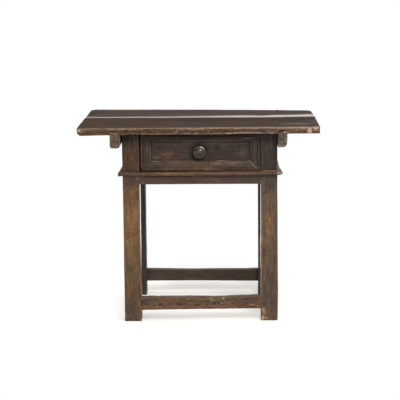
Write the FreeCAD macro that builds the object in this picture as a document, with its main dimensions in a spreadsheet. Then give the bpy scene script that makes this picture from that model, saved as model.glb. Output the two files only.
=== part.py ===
"""Tavern table with one drawer, in millimetres.

The origin is on the floor under the middle of the top. X runs along the top's long side, the drawer
opens towards -Y, and Z is up.
"""

import FreeCAD, Part
import Sketcher

import math
import os
from collections import defaultdict
from types import SimpleNamespace

from FreeCAD import Placement, Rotation, Vector

doc = FreeCAD.newDocument("TavernTable")

# ---------------------------------------------------------------------------
# Driving dimensions
# ---------------------------------------------------------------------------

SIZES = (
    ("table_height", 750, "floor to the upper face of the top"),
    ("top_length", 900, "top, along X"),
    ("top_depth", 590, "top, front to back"),
    ("top_thickness", 23, "both boards of the top"),
    ("front_board_depth", 300, "front board of the top, front to back"),
    ("board_gap", 0.8, "open joint between the two boards"),
    ("board_corner_round", 12, "outer corners of the top, seen from above"),
    ("board_upper_round", 7, "worn upper arris of the top"),
    ("board_lower_round", 3, "lower arris of the top"),
    ("batten_clearance", 3, "between a batten and the legs beside it"),
    ("batten_thickness", 31, "batten under the top, along X"),
    ("batten_height", 49, "batten under the top"),
    ("batten_setback", 1, "batten ends behind the top's edges"),
    ("batten_end_round", 12, "lower corner of a batten's end"),
    ("batten_peg_diameter", 10, "pegs down through the boards into the battens"),
    ("batten_peg_length", 56, "pegs down through the boards into the battens"),
    ("batten_peg_margin", 48, "batten peg to the long edge of its board"),
    ("lock_peg_diameter", 13, "pegs through the battens into the side rails"),
    ("lock_peg_bite", 20, "length of a lock peg inside the side rail"),
    ("lock_peg_spread", 220, "between the two lock pegs of one batten"),
    ("base_width", 582, "over the legs, along X"),
    ("base_depth", 472, "over the legs, front to back"),
    ("leg_size", 64, "square section of a leg"),
    ("leg_arris_round", 2, "upright arrises of a leg"),
    ("foot_chamfer", 4, "worn lower arrises of a leg"),
    ("drawer_opening_height", 145, "front rail to the underside of the top"),
    ("rail_height", 49.5, "front rail under the drawer"),
    ("rail_thickness", 34, "front rail under the drawer"),
    ("apron_thickness", 26, "side and back rails"),
    ("stretcher_height", 45, "all four stretchers"),
    ("stretcher_thickness", 30, "all four stretchers"),
    ("front_stretcher_lift", 49, "floor to the front stretcher"),
    ("back_stretcher_lift", 53, "floor to the back stretcher"),
    ("side_stretcher_lift", 51, "floor to the side stretchers"),
    ("tenon_length", 40, "tenons of rails and stretchers"),
    ("rail_tenon_thickness", 12, "tenons of the rails"),
    ("stretcher_tenon_thickness", 10, "tenons of the stretchers"),
    ("tenon_shoulder", 7, "above and below a front rail's or stretcher's tenon"),
    ("apron_shoulder", 20, "above and below a side or back rail's tenon"),
    ("joint_fit", 0.2, "clearance round tenons, grooves and laps"),
    ("peg_fit", 0.1, "radial clearance round pegs and nails"),
    ("joint_peg_diameter", 8, "draw-bore pegs through the tenons"),
    ("joint_peg_length", 36, "draw-bore pegs through the tenons"),
    ("apron_peg_spread", 100, "between the two pegs of one side or back rail tenon"),
    ("moulding_height", 21, "moulding round the frame"),
    ("moulding_projection", 18, "moulding round the frame, at its nose"),
    ("moulding_nose_radius", 6, "half-round nose of the moulding"),
    ("moulding_step", 5, "the hollow's foot, in from the nose"),
    ("moulding_quirk_height", 1.5, "groove between the nose and the hollow"),
    ("moulding_quirk_depth", 2, "groove between the nose and the hollow"),
    ("moulding_top_flat", 6, "flat top of the moulding, from the frame out"),
    ("moulding_cove_radius", 10, "hollow between the groove and the top"),
    ("pin_diameter", 2.4, "pins that hold the mouldings"),
    ("pin_length", 22, "pins of the frame moulding"),
    ("pin_recess", 1, "punched depth of a pin's head"),
    ("moulding_pin_spread", 180, "between the two middle pins of one frame moulding"),
    ("runner_width", 21, "drawer runner, along X"),
    ("runner_clearance", 0.5, "between a runner and the legs beside it"),
    ("runner_height", 22, "drawer runner"),
    ("runner_tenon", 8, "stub tenons of a runner"),
    ("runner_tenon_height", 10, "stub tenons of a runner"),
    ("stop_width", 14, "drawer stop, along X"),
    ("stop_height", 20, "drawer stop"),
    ("stop_clearance", 0.4, "between a stop and the shut drawer"),
    ("stop_nail_length", 34, "nail down through a stop"),
    ("nail_diameter", 3, "nails of the drawer and its stops"),
    ("drawer_side_gap", 3, "drawer front to a leg, when centred"),
    ("drawer_offset", 1.5, "the drawer sits to the right of centre"),
    ("drawer_top_gap", 3, "drawer front to the underside of the top"),
    ("drawer_lower_gap", 2.5, "front rail to the drawer front"),
    ("drawer_running_gap", 0.4, "runners to the drawer sides"),
    ("drawer_recess", 1, "face of the drawer behind the legs' faces"),
    ("drawer_length", 430, "drawer, front to back"),
    ("drawer_front_thickness", 20, "drawer front"),
    ("drawer_side_thickness", 12, "drawer sides"),
    ("drawer_side_height", 128, "drawer sides"),
    ("drawer_side_inset", 2, "drawer sides in from the ends of the front"),
    ("drawer_lap", 12, "drawer side let into the front"),
    ("drawer_back_thickness", 12, "drawer back"),
    ("drawer_back_drop", 4, "drawer back below the top of the sides"),
    ("drawer_floor_thickness", 8, "drawer bottom board"),
    ("drawer_floor_lift", 5, "lower edge of the sides to the drawer bottom board"),
    ("groove_depth", 5, "grooves that hold the drawer bottom board"),
    ("drawer_nail_length", 32, "nails through the drawer sides"),
    ("drawer_nail_margin", 24, "drawer nails from the edges of a side"),
    ("floor_nail_length", 30, "nails up through the bottom board into the drawer back"),
    ("floor_nail_spread", 300, "between the outer nails of the bottom board"),
    ("frame_width", 36, "moulding frame on the drawer front"),
    ("frame_height", 12, "moulding frame, out from the drawer front"),
    ("frame_arris_round", 2.5, "outer arris of the moulding frame"),
    ("frame_outer_flat", 9, "flat border of the moulding frame"),
    ("frame_quirk", 1.6, "step down inside the flat border"),
    ("frame_bead_width", 7, "bead along the panel"),
    ("frame_bead_height", 5, "foot of the bead above the drawer front"),
    ("frame_bead_radius", 4, "bead along the panel"),
    ("frame_inner_height", 2, "moulding frame where it meets the panel"),
    ("frame_inner_flat", 3, "flat between the bead and the panel"),
    ("frame_hollow_radius", 26, "hollow slope from the border to the bead"),
    ("frame_pin_length", 17, "pins of the moulding frame"),
    ("frame_pin_spread", 240, "between the middle pins of a long frame moulding"),
    ("frame_pin_margin", 5, "pins in from the frame's outer edge"),
    ("frame_pin_end", 44, "pins of the frame from the drawer's corners"),
    ("knob_drop", 2, "knob below the middle of the drawer front"),
    ("knob_diameter", 48, "head of the knob"),
    ("knob_projection", 34, "knob, out from the drawer front's panel"),
    ("knob_head_thickness", 15, "head of the knob"),
    ("knob_rim_height", 5, "upright rim of the knob's head"),
    ("knob_rim_round", 3.5, "lower arris of the knob's rim"),
    ("knob_neck_diameter", 17, "neck of the knob"),
    ("knob_flare_radius", 11, "hollow from the neck to the head"),
    ("knob_shank_diameter", 7, "shank through the drawer front"),
    ("knob_shank_overrun", 3, "shank beyond its nut"),
    ("rose_diameter", 38, "plate under the knob"),
    ("rose_thickness", 2.5, "plate under the knob"),
    ("rose_round", 1.2, "outer arris of the plate"),
    ("nut_width", 16, "square nut inside the drawer"),
    ("nut_thickness", 6, "square nut inside the drawer"),
    ("cut_margin", 6, "how far cutting shapes reach past what they cut"),
)

sheet = doc.addObject("Spreadsheet::Sheet", "Sizes")
for row, (alias, millimetres, meaning) in enumerate(SIZES, start=1):
    sheet.set(f"A{row}", meaning)
    sheet.set(f"B{row}", str(millimetres))
    sheet.setAlias(f"B{row}", alias)
doc.recompute()


class Formula:
    """A length worked out from the sheet: its text, for a binding, and its value."""

    def __init__(self, text, value):
        self.text = text
        self.value = value

    def joined(self, sign, other, value):
        return Formula(f"({self.text} {sign} {other.text})", value)

    def __add__(self, other):
        other = formula(other)
        return self.joined("+", other, self.value + other.value)

    def __sub__(self, other):
        other = formula(other)
        return self.joined("-", other, self.value - other.value)

    def __mul__(self, other):
        other = formula(other)
        return self.joined("*", other, self.value * other.value)

    def __truediv__(self, other):
        other = formula(other)
        return self.joined("/", other, self.value / other.value)

    def __neg__(self):
        return Formula(f"(0 - {self.text})", -self.value)


def formula(number):
    """A plain number as a Formula; a Formula stays as it is."""
    return number if isinstance(number, Formula) else Formula(f"({number})", float(number))


size = SimpleNamespace(**{alias: Formula(f"Sizes.{alias}", float(sheet.get(alias))) for alias, _, _ in SIZES})
ZERO = formula(0)

# ---------------------------------------------------------------------------
# Building blocks
# ---------------------------------------------------------------------------

ROD_TURN = {
    "x": Rotation(Vector(0, 1, 0), 90),
    "y": Rotation(Vector(1, 0, 0), -90),
    "z": Rotation(),
}
X_AXIS_LINE = -1
Y_AXIS_LINE = -2

blanks = {}
cuts = defaultdict(list)
fasteners = []


def bind(thing, path, length):
    thing.setExpression(path, formula(length).text)


def place(thing, position, turn=Rotation()):
    """Put thing at a position of three formulas."""
    thing.Placement = Placement(Vector(), turn)
    for letter, length in zip("xyz", position):
        bind(thing, f"Placement.Base.{letter}", length)


def block(name, x_span, y_span, z_span):
    """A rectangular block between three (low, high) spans."""
    box = doc.addObject("Part::Box", name)
    for side, (low, high) in zip(("Length", "Width", "Height"), (x_span, y_span, z_span)):
        bind(box, side, formula(high) - low)
    place(box, (x_span[0], y_span[0], z_span[0]))
    return box


def rod(name, axis, centre, span, radius):
    """A cylinder along an axis; centre holds its other two coordinates by letter."""
    low, high = span
    cylinder = doc.addObject("Part::Cylinder", name)
    bind(cylinder, "Radius", radius)
    bind(cylinder, "Height", formula(high) - low)
    position = [low if letter == axis else centre[letter] for letter in "xyz"]
    place(cylinder, position, ROD_TURN[axis])
    return cylinder


def mirrored(side, low, high):
    """The span from low to high, or its mirror image where side is -1."""
    return (low, high) if side > 0 else (-high, -low)


def about(middle, width):
    return (middle - width / 2, middle + width / 2)


def grown(span, clearance):
    return (span[0] - clearance, span[1] + clearance)


def fused(name, parts):
    fusion = doc.addObject("Part::MultiFuse", name)
    fusion.Shapes = parts
    return fusion


def fasten(group, axis, span, diameter, through, **centre):
    """Note a peg, nail or pin of a group, and the pieces that it passes through."""
    fasteners.append(SimpleNamespace(
        group=group, axis=axis, span=span, radius=diameter / 2, through=through, centre=centre))


def new_body(label):
    """An empty body and its three origin planes by role."""
    body = doc.addObject("PartDesign::Body", f"{label}_body")
    planes = {feature.Role: feature for feature in body.Origin.OriginFeatures}
    return body, planes


def new_sketch(body, name, plane, offset=ZERO):
    sketch = body.newObject("Sketcher::SketchObject", name)
    sketch.AttachmentSupport = [(plane, "")]
    sketch.MapMode = "FlatFace"
    bind(sketch, "AttachmentOffset.Base.z", offset)
    return sketch


def pin_down(sketch, edge, end, across, up):
    """Fix one end of an edge at its two coordinates."""
    for kind, line, length in (("DistanceX", Y_AXIS_LINE, across), ("DistanceY", X_AXIS_LINE, up)):
        if length is ZERO:
            sketch.addConstraint(Sketcher.Constraint("PointOnObject", edge, end, line))
            continue
        index = sketch.addConstraint(Sketcher.Constraint(kind, edge, end, length.value))
        bind(sketch, f"Constraints[{index}]", length)


def arc_edge(start, end, radius, turn):
    """The shorter arc from start to end; turn is 1 where its centre lies to the left, else -1."""
    chord = end - start
    left = Vector(-chord.y, chord.x, 0).normalize()
    reach = math.sqrt(max(radius ** 2 - chord.Length ** 2 / 4, 0))
    middle = (start + end) * 0.5 + left * (turn * (reach - radius))
    return Part.Arc(start, middle, end)


def draw_outline(sketch, corners):
    """Draw a closed outline.

    Each corner is (across, up), or (across, up, radius, turn) where the edge that leaves it is an
    arc.
    """
    corners = [tuple(formula(part) if index < 2 and part is not ZERO else part
                     for index, part in enumerate(corner)) for corner in corners]
    points = [Vector(corner[0].value, corner[1].value, 0) for corner in corners]
    ends = []
    for index, corner in enumerate(corners):
        start = points[index]
        end = points[(index + 1) % len(points)]
        if len(corner) == 2:
            ends.append((sketch.addGeometry(Part.LineSegment(start, end)), 1, 2))
            continue
        radius, turn = corner[2:]
        edge = sketch.addGeometry(arc_edge(start, end, radius.value, turn))
        first, last = (1, 2) if turn > 0 else (2, 1)
        ends.append((edge, first, last))
        constraint = sketch.addConstraint(Sketcher.Constraint("Radius", edge, radius.value))
        bind(sketch, f"Constraints[{constraint}]", radius)
    for index, (edge, first, last) in enumerate(ends):
        next_edge, next_first, _ = ends[(index + 1) % len(ends)]
        sketch.addConstraint(Sketcher.Constraint("Coincident", edge, last, next_edge, next_first))
        pin_down(sketch, edge, first, *corners[index][:2])


def draw_rectangle(sketch, across_span, up_span):
    left, right = across_span
    low, high = up_span
    draw_outline(sketch, [(left, low), (right, low), (right, high), (left, high)])


def pad(body, sketch, length):
    feature = body.newObject("PartDesign::Pad", f"{sketch.Name}_pad")
    feature.Profile = sketch
    bind(feature, "Length", length)
    doc.recompute()
    return feature


def turned(body, sketch):
    """A revolution of the sketch about its own upright axis."""
    feature = body.newObject("PartDesign::Revolution", f"{sketch.Name}_turned")
    feature.Profile = sketch
    feature.ReferenceAxis = (sketch, ["V_Axis"])
    feature.Angle = 360
    doc.recompute()
    return feature


def eased(body, kind, base, chosen, length):
    """A fillet or chamfer on the chosen edges of the base feature."""
    names = [f"Edge{index}" for index, edge in enumerate(base.Shape.Edges, start=1) if chosen(edge)]
    feature = body.newObject(f"PartDesign::{kind}", f"{base.Name}_{kind.lower()}")
    feature.Base = (base, names)
    bind(feature, "Radius" if kind == "Fillet" else "Size", length)
    doc.recompute()
    return feature


def is_at(edge, letter, value):
    """Whether a whole edge lies at one value of x, y or z."""
    tolerance = 1e-6
    low = getattr(edge.BoundBox, f"{letter.upper()}Min")
    high = getattr(edge.BoundBox, f"{letter.upper()}Max")
    return abs(low - value) < tolerance and abs(high - value) < tolerance


def is_upright(edge):
    return edge.BoundBox.ZLength > max(edge.BoundBox.XLength, edge.BoundBox.YLength)


def mitred_strip(label, outline, width, length, mitred_ends, position, turn):
    """A strip along its own X, cut to mitres that shorten it as its own Y grows.

    The length is (low, high) along its long edge at Y = 0, and mitred_ends holds -1, 1 or both.
    """
    low, high = length
    body, planes = new_body(label)
    section = new_sketch(body, f"{label}_section", planes["YZ_Plane"], low)
    draw_outline(section, outline)
    bar = pad(body, section, formula(high) - low)
    wedges = new_sketch(body, f"{label}_mitres", planes["XY_Plane"])
    margin = size.cut_margin
    for side in mitred_ends:
        end = high if side > 0 else low
        tip, heel, outside = [end + step * side for step in (margin, -width - margin, margin)]
        corners = [(tip, -margin), (outside, width + margin), (heel, width + margin)]
        draw_outline(wedges, corners if side > 0 else corners[::-1])
    mitre = body.newObject("PartDesign::Pocket", f"{label}_mitre_cut")
    mitre.Profile = wedges
    mitre.Type = "ThroughAll"
    mitre.Reversed = True
    doc.recompute()
    if mitre.Shape.Volume >= bar.Shape.Volume:
        raise RuntimeError(f"the mitres of {label} cut nothing")
    place(body, position, turn)
    return body


# ---------------------------------------------------------------------------
# Levels and faces that several pieces share
# ---------------------------------------------------------------------------

top_underside = size.table_height - size.top_thickness
half_width = size.base_width / 2
half_depth = size.base_depth / 2
rail_top = top_underside - size.drawer_opening_height
rail_bottom = rail_top - size.rail_height
stretcher_middle = {
    "front": size.front_stretcher_lift + size.stretcher_height / 2,
    "back": size.back_stretcher_lift + size.stretcher_height / 2,
    "left": size.side_stretcher_lift + size.stretcher_height / 2,
    "right": size.side_stretcher_lift + size.stretcher_height / 2,
}
SIDES = (("left", -1), ("right", 1))
ENDS = (("front", -1), ("back", 1))

# ---------------------------------------------------------------------------
# Frame
# ---------------------------------------------------------------------------


def build_leg(label, x_side, y_side):
    """A square leg with eased arrises and a worn foot."""
    body, planes = new_body(label)
    section = new_sketch(body, f"{label}_section", planes["XY_Plane"])
    draw_rectangle(
        section,
        mirrored(x_side, half_width - size.leg_size, half_width),
        mirrored(y_side, half_depth - size.leg_size, half_depth))
    post = pad(body, section, top_underside)
    foot = eased(body, "Chamfer", post, lambda edge: is_at(edge, "z", 0), size.foot_chamfer)
    eased(body, "Fillet", foot, is_upright, size.leg_arris_round)
    blanks[label] = body


for y_name, y_side in ENDS:
    for x_name, x_side in SIDES:
        build_leg(f"leg_{y_name}_{x_name}", x_side, y_side)


def build_crosspiece(label, legs, section, height, tenon, tenon_height, pegs):
    """A rail or stretcher between two legs, its tenons, their mortises and their pegs.

    The legs are those at its low and its high end. It runs along X where they lie beside each
    other. The section and tenon are spans across it, and pegs holds (group, face, side, levels).
    """
    along_x = legs[0].split("_")[1] == legs[1].split("_")[1]
    half_span = half_width if along_x else half_depth
    shoulder = half_span - size.leg_size
    tip = shoulder + size.tenon_length

    def solid(name, run, across, levels):
        return block(name, run, across, levels) if along_x else block(name, across, run, levels)

    parts = [
        solid(f"{label}_length", (-shoulder, shoulder), section, height),
        solid(f"{label}_tenons", (-tip, tip), tenon, tenon_height),
    ]
    blanks[label] = fused(f"{label}_blank", parts)
    group, face, side, levels = pegs
    axis, letter = ("y", "x") if along_x else ("x", "y")
    peg_span = mirrored(side, face - size.joint_peg_length, face)
    for leg, end in zip(legs, (-1, 1)):
        mortise = solid(
            f"{label}_mortise_{leg}",
            mirrored(end, shoulder, tip + size.joint_fit),
            grown(tenon, size.joint_fit),
            grown(tenon_height, size.joint_fit))
        cuts[leg].append(mortise)
        middle = (shoulder + size.tenon_length / 2) * end
        for level in levels:
            centre = {letter: middle, "z": level}
            fasten(group, axis, peg_span, size.joint_peg_diameter, (leg, label), **centre)


def outer_span(side, half_span, thickness):
    """A member's span across its run, flush with the legs' outer faces."""
    return mirrored(side, half_span - thickness, half_span)


def tenon_span(side, half_span, thickness, tenon):
    return about((half_span - thickness / 2) * side, tenon)


front_legs = ("leg_front_left", "leg_front_right")
back_legs = ("leg_back_left", "leg_back_right")
left_legs = ("leg_front_left", "leg_back_left")
right_legs = ("leg_front_right", "leg_back_right")

visible_rail_middle = rail_bottom + (size.rail_height - size.moulding_height) / 2
build_crosspiece(
    "front_rail", front_legs,
    outer_span(-1, half_depth, size.rail_thickness), (rail_bottom, rail_top),
    tenon_span(-1, half_depth, size.rail_thickness, size.rail_tenon_thickness),
    grown((rail_bottom, rail_top), -size.tenon_shoulder),
    ("front_joint_pegs", half_depth, -1, (visible_rail_middle,)))

apron_levels = about((rail_bottom + top_underside) / 2, size.apron_peg_spread)
for label, legs, side, half_span in (
        ("back_rail", back_legs, 1, half_depth),
        ("side_rail_left", left_legs, -1, half_width),
        ("side_rail_right", right_legs, 1, half_width)):
    group = f"{'back' if label == 'back_rail' else label.split('_')[-1]}_joint_pegs"
    build_crosspiece(
        label, legs,
        outer_span(side, half_span, size.apron_thickness), (rail_bottom, top_underside),
        tenon_span(side, half_span, size.apron_thickness, size.rail_tenon_thickness),
        grown((rail_bottom, top_underside), -size.apron_shoulder),
        (group, half_span, side, apron_levels))

for name, legs, side, half_span in (
        ("front", front_legs, -1, half_depth),
        ("back", back_legs, 1, half_depth),
        ("left", left_legs, -1, half_width),
        ("right", right_legs, 1, half_width)):
    height = about(stretcher_middle[name], size.stretcher_height)
    build_crosspiece(
        f"stretcher_{name}", legs,
        outer_span(side, half_span, size.stretcher_thickness), height,
        tenon_span(side, half_span, size.stretcher_thickness, size.stretcher_tenon_thickness),
        grown(height, -size.tenon_shoulder),
        (f"{name}_joint_pegs", half_span, side, (stretcher_middle[name],)))

# ---------------------------------------------------------------------------
# Moulding round the frame
# ---------------------------------------------------------------------------

nose = size.moulding_projection
nose_radius = size.moulding_nose_radius
nose_top = nose_radius * 2
moulding_outline = [
    (nose, ZERO),
    (nose, size.moulding_height),
    (nose - size.moulding_top_flat, size.moulding_height, size.moulding_cove_radius, -1),
    (size.moulding_step, nose_top + size.moulding_quirk_height),
    (size.moulding_step + size.moulding_quirk_depth, nose_top),
    (nose_radius, nose_top, nose_radius, 1),
    (ZERO, nose_radius, nose_radius, 1),
    (nose_radius, ZERO),
]
moulding_level = rail_top - size.moulding_height
front_half_length = half_width + nose
blanks["moulding_front"] = mitred_strip(
    "moulding_front", moulding_outline, nose, (-front_half_length, front_half_length), (-1, 1),
    (ZERO, -half_depth - nose, moulding_level), Rotation())
blanks["moulding_left"] = mitred_strip(
    "moulding_left", moulding_outline, nose, (-half_depth, half_depth + nose), (1,),
    (-half_width - nose, ZERO, moulding_level), Rotation(Vector(0, 0, 1), -90))
blanks["moulding_right"] = mitred_strip(
    "moulding_right", moulding_outline, nose, (-half_depth - nose, half_depth), (-1,),
    (half_width + nose, ZERO, moulding_level), Rotation(Vector(0, 0, 1), 90))

pin_level = moulding_level + nose_radius


def pin_moulding(moulding, axis, side, half_face, half_run, low_leg, high_leg, rail):
    """Two pins into the legs and two into the rail between them."""
    outer = half_face + nose - size.pin_recess
    span = mirrored(side, outer - size.pin_length, outer)
    letter = "x" if axis == "y" else "y"
    leg_middle = half_run - size.leg_size / 2
    rail_pins = size.moulding_pin_spread / 2
    for place_along, behind in (
            (-leg_middle, low_leg), (-rail_pins, rail), (rail_pins, rail), (leg_middle, high_leg)):
        centre = {letter: place_along, "z": pin_level}
        fasten("moulding_pins", axis, span, size.pin_diameter, (moulding, behind), **centre)


pin_moulding("moulding_front", "y", -1, half_depth, half_width, *front_legs, "front_rail")
pin_moulding("moulding_left", "x", -1, half_width, half_depth, *left_legs, "side_rail_left")
pin_moulding("moulding_right", "x", 1, half_width, half_depth, *right_legs, "side_rail_right")

# ---------------------------------------------------------------------------
# Top
# ---------------------------------------------------------------------------

top_front = -size.top_depth / 2
joint_line = top_front + size.front_board_depth
board_spans = {
    "top_front_board": (top_front, joint_line),
    "top_back_board": (joint_line + size.board_gap, size.top_depth / 2),
}


def build_board(label, joint_edge):
    """A board of the top, rounded along all its edges except the one in the joint."""
    body, planes = new_body(label)
    section = new_sketch(body, f"{label}_section", planes["XY_Plane"])
    draw_rectangle(section, about(ZERO, size.top_length), board_spans[label])
    plank = pad(body, section, size.top_thickness)
    corners = eased(
        body, "Fillet", plank,
        lambda edge: is_upright(edge) and not is_at(edge, "y", joint_edge.value),
        size.board_corner_round)
    upper = eased(
        body, "Fillet", corners,
        lambda edge: is_at(edge, "z", size.top_thickness.value)
        and not is_at(edge, "y", joint_edge.value),
        size.board_upper_round)
    eased(
        body, "Fillet", upper,
        lambda edge: is_at(edge, "z", 0) and not is_at(edge, "y", joint_edge.value),
        size.board_lower_round)
    place(body, (ZERO, ZERO, top_underside))
    blanks[label] = body


build_board("top_front_board", joint_line)
build_board("top_back_board", joint_line + size.board_gap)

batten_inner = half_width + size.batten_clearance
batten_outer = batten_inner + size.batten_thickness
batten_middle = batten_inner + size.batten_thickness / 2


def build_batten(label, side):
    """A batten under the top, with rounded lower corners at its ends."""
    body, planes = new_body(label)
    low, high = mirrored(side, batten_inner, batten_outer)
    end = size.top_depth / 2 - size.batten_setback
    low_level = top_underside - size.batten_height
    bend = size.batten_end_round
    section = new_sketch(body, f"{label}_section", planes["YZ_Plane"], low)
    draw_outline(section, [
        (-end + bend, low_level),
        (end - bend, low_level, bend, 1),
        (end, low_level + bend),
        (end, top_underside),
        (-end, top_underside),
        (-end, low_level + bend, bend, 1),
    ])
    pad(body, section, high - low)
    blanks[label] = body


for x_name, x_side in SIDES:
    batten = f"top_batten_{x_name}"
    build_batten(batten, x_side)
    for board, (low, high) in board_spans.items():
        for y in (low + size.batten_peg_margin, high - size.batten_peg_margin):
            fasten(
                "batten_pegs", "z",
                (size.table_height - size.batten_peg_length, size.table_height),
                size.batten_peg_diameter, (board, batten), x=batten_middle * x_side, y=y)
    lock_inner = half_width - size.lock_peg_bite
    for y in about(ZERO, size.lock_peg_spread):
        fasten(
            "top_lock_pegs", "x", mirrored(x_side, lock_inner, batten_outer),
            size.lock_peg_diameter, (batten, f"side_rail_{x_name}"),
            y=y, z=top_underside - size.batten_height / 2)

# ---------------------------------------------------------------------------
# Drawer runners and stops
# ---------------------------------------------------------------------------

rail_back = -half_depth + size.rail_thickness
back_rail_front = half_depth - size.apron_thickness
runner_outer = half_width - size.leg_size - size.runner_clearance
runner_inner = runner_outer - size.runner_width
runner_levels = (rail_top - size.runner_height, rail_top)
runner_tenon_levels = about(rail_top - size.runner_height / 2, size.runner_tenon_height)
drawer_face = -half_depth + size.drawer_recess
drawer_rear = drawer_face + size.drawer_length
stop_front = drawer_rear + size.stop_clearance

for x_name, x_side in SIDES:
    runner = f"drawer_runner_{x_name}"
    stop = f"drawer_stop_{x_name}"
    across = mirrored(x_side, runner_inner, runner_outer)
    tenons = (rail_back - size.runner_tenon, back_rail_front + size.runner_tenon)
    blanks[runner] = fused(f"{runner}_blank", [
        block(f"{runner}_length", across, (rail_back, back_rail_front), runner_levels),
        block(f"{runner}_tenons", across, tenons, runner_tenon_levels),
    ])
    for rail, low, high in (
            ("front_rail", tenons[0] - size.joint_fit, rail_back),
            ("back_rail", back_rail_front, tenons[1] + size.joint_fit)):
        cuts[rail].append(block(
            f"{runner}_socket_{rail}", grown(across, size.joint_fit), (low, high),
            grown(runner_tenon_levels, size.joint_fit)))
    stop_middle = (runner_outer - size.runner_width / 2) * x_side
    stop_top = rail_top + size.stop_height
    blanks[stop] = block(
        f"{stop}_block", about(stop_middle, size.stop_width), (stop_front, back_rail_front),
        (rail_top, stop_top))
    fasten(
        "drawer_stop_nails", "z", (stop_top - size.stop_nail_length, stop_top),
        size.nail_diameter, (stop, runner),
        x=stop_middle, y=(stop_front + back_rail_front) / 2)

# ---------------------------------------------------------------------------
# Drawer
# ---------------------------------------------------------------------------

opening_half = half_width - size.leg_size
middle = size.drawer_offset
front_half = opening_half - size.drawer_side_gap
front_levels = (rail_top + size.drawer_lower_gap, top_underside - size.drawer_top_gap)
board_face = drawer_face + size.frame_height
board_back = board_face + size.drawer_front_thickness
side_outer = front_half - size.drawer_side_inset
side_inner = side_outer - size.drawer_side_thickness
side_bottom = rail_top + size.drawer_running_gap
side_levels = (side_bottom, side_bottom + size.drawer_side_height)
floor_bottom = side_bottom + size.drawer_floor_lift
floor_top = floor_bottom + size.drawer_floor_thickness
floor_half = side_inner + size.groove_depth
back_front = drawer_rear - size.drawer_back_thickness
lap_front = board_back - size.drawer_lap


def beside(side, low, high):
    """A span at one side of the drawer's own middle."""
    near, far = mirrored(side, low, high)
    return (middle + near, middle + far)


blanks["drawer_front"] = block(
    "drawer_front_board", beside(1, -front_half, front_half), (board_face, board_back), front_levels)
cuts["drawer_front"].append(block(
    "drawer_front_groove", beside(1, -side_inner, side_inner),
    (board_back - size.groove_depth - size.joint_fit, board_back + size.cut_margin),
    (floor_bottom, floor_top + size.joint_fit)))
blanks["drawer_back"] = block(
    "drawer_back_board", beside(1, -side_inner, side_inner), (back_front, drawer_rear),
    (floor_top, side_levels[1] - size.drawer_back_drop))
blanks["drawer_bottom"] = block(
    "drawer_bottom_board",
    beside(1, size.joint_fit - floor_half, floor_half - size.joint_fit),
    (board_back - size.groove_depth, drawer_rear), (floor_bottom, floor_top))

nail_low = side_bottom + size.drawer_nail_margin
nail_high = side_levels[1] - size.drawer_nail_margin
for x_name, x_side in SIDES:
    label = f"drawer_side_{x_name}"
    blanks[label] = block(
        f"{label}_board", beside(x_side, side_inner, side_outer), (lap_front, drawer_rear),
        side_levels)
    cuts[label].append(block(
        f"{label}_groove", beside(x_side, side_inner - size.cut_margin, floor_half),
        (lap_front - size.cut_margin, drawer_rear + size.cut_margin),
        (floor_bottom, floor_top + size.joint_fit)))
    cuts["drawer_front"].append(block(
        f"{label}_lap", beside(x_side, side_inner, front_half + size.cut_margin),
        (lap_front, board_back + size.cut_margin), (rail_top, top_underside)))
    nail_span = beside(x_side, side_outer - size.drawer_nail_length, side_outer)
    for other, y in (
            ("drawer_front", board_back - size.drawer_lap / 2),
            ("drawer_back", drawer_rear - size.drawer_back_thickness / 2)):
        for level in (nail_low, (nail_low + nail_high) / 2, nail_high):
            fasten("drawer_nails", "x", nail_span, size.nail_diameter, (label, other), y=y, z=level)
for step in (-1, 0, 1):
    fasten(
        "drawer_nails", "z", (floor_bottom, floor_bottom + size.floor_nail_length),
        size.nail_diameter, ("drawer_bottom", "drawer_back"),
        x=middle + size.floor_nail_spread * step / 2,
        y=drawer_rear - size.drawer_back_thickness / 2)

# ---------------------------------------------------------------------------
# Moulding frame on the drawer front
# ---------------------------------------------------------------------------

bead_end = size.frame_width - size.frame_inner_flat
bead_start = bead_end - size.frame_bead_width
arris = size.frame_arris_round
frame_outline = [
    (ZERO, ZERO),
    (size.frame_width, ZERO),
    (size.frame_width, size.frame_inner_height),
    (bead_end, size.frame_inner_height),
    (bead_end, size.frame_bead_height, size.frame_bead_radius, 1),
    (bead_start, size.frame_bead_height, size.frame_hollow_radius, -1),
    (size.frame_outer_flat, size.frame_height - size.frame_quirk),
    (size.frame_outer_flat, size.frame_height),
    (arris, size.frame_height, arris, 1),
    (ZERO, size.frame_height - arris),
]
front_middle = (front_levels[0] + front_levels[1]) / 2
front_half_height = (front_levels[1] - front_levels[0]) / 2
FACING_FRONT = Rotation(Vector(1, 0, 0), 90)

for name, turn, half_length, x, z in (
        ("bottom", 0, front_half, middle, front_levels[0]),
        ("left", 90, front_half_height, middle - front_half, front_middle),
        ("top", 180, front_half, middle, front_levels[1]),
        ("right", -90, front_half_height, middle + front_half, front_middle)):
    label = f"drawer_moulding_{name}"
    blanks[label] = mitred_strip(
        label, frame_outline, size.frame_width, (-half_length, half_length), (-1, 1),
        (x, board_face, z), Rotation(Vector(0, 1, 0), turn) * FACING_FRONT)

frame_pin_span = (drawer_face + size.pin_recess, drawer_face + size.pin_recess + size.frame_pin_length)


def pin_frame(name, x, z):
    fasten(
        "drawer_moulding_pins", "y", frame_pin_span, size.pin_diameter,
        (f"drawer_moulding_{name}", "drawer_front"), x=x, z=z)


for x in (-front_half + size.frame_pin_end, -size.frame_pin_spread / 2, ZERO,
          size.frame_pin_spread / 2, front_half - size.frame_pin_end):
    pin_frame("bottom", middle + x, front_levels[0] + size.frame_pin_margin)
    pin_frame("top", middle + x, front_levels[1] - size.frame_pin_margin)
for name, side in SIDES:
    for z in (front_levels[0] + size.frame_pin_end, front_levels[1] - size.frame_pin_end):
        pin_frame(name, middle + (front_half - size.frame_pin_margin) * side, z)

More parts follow.
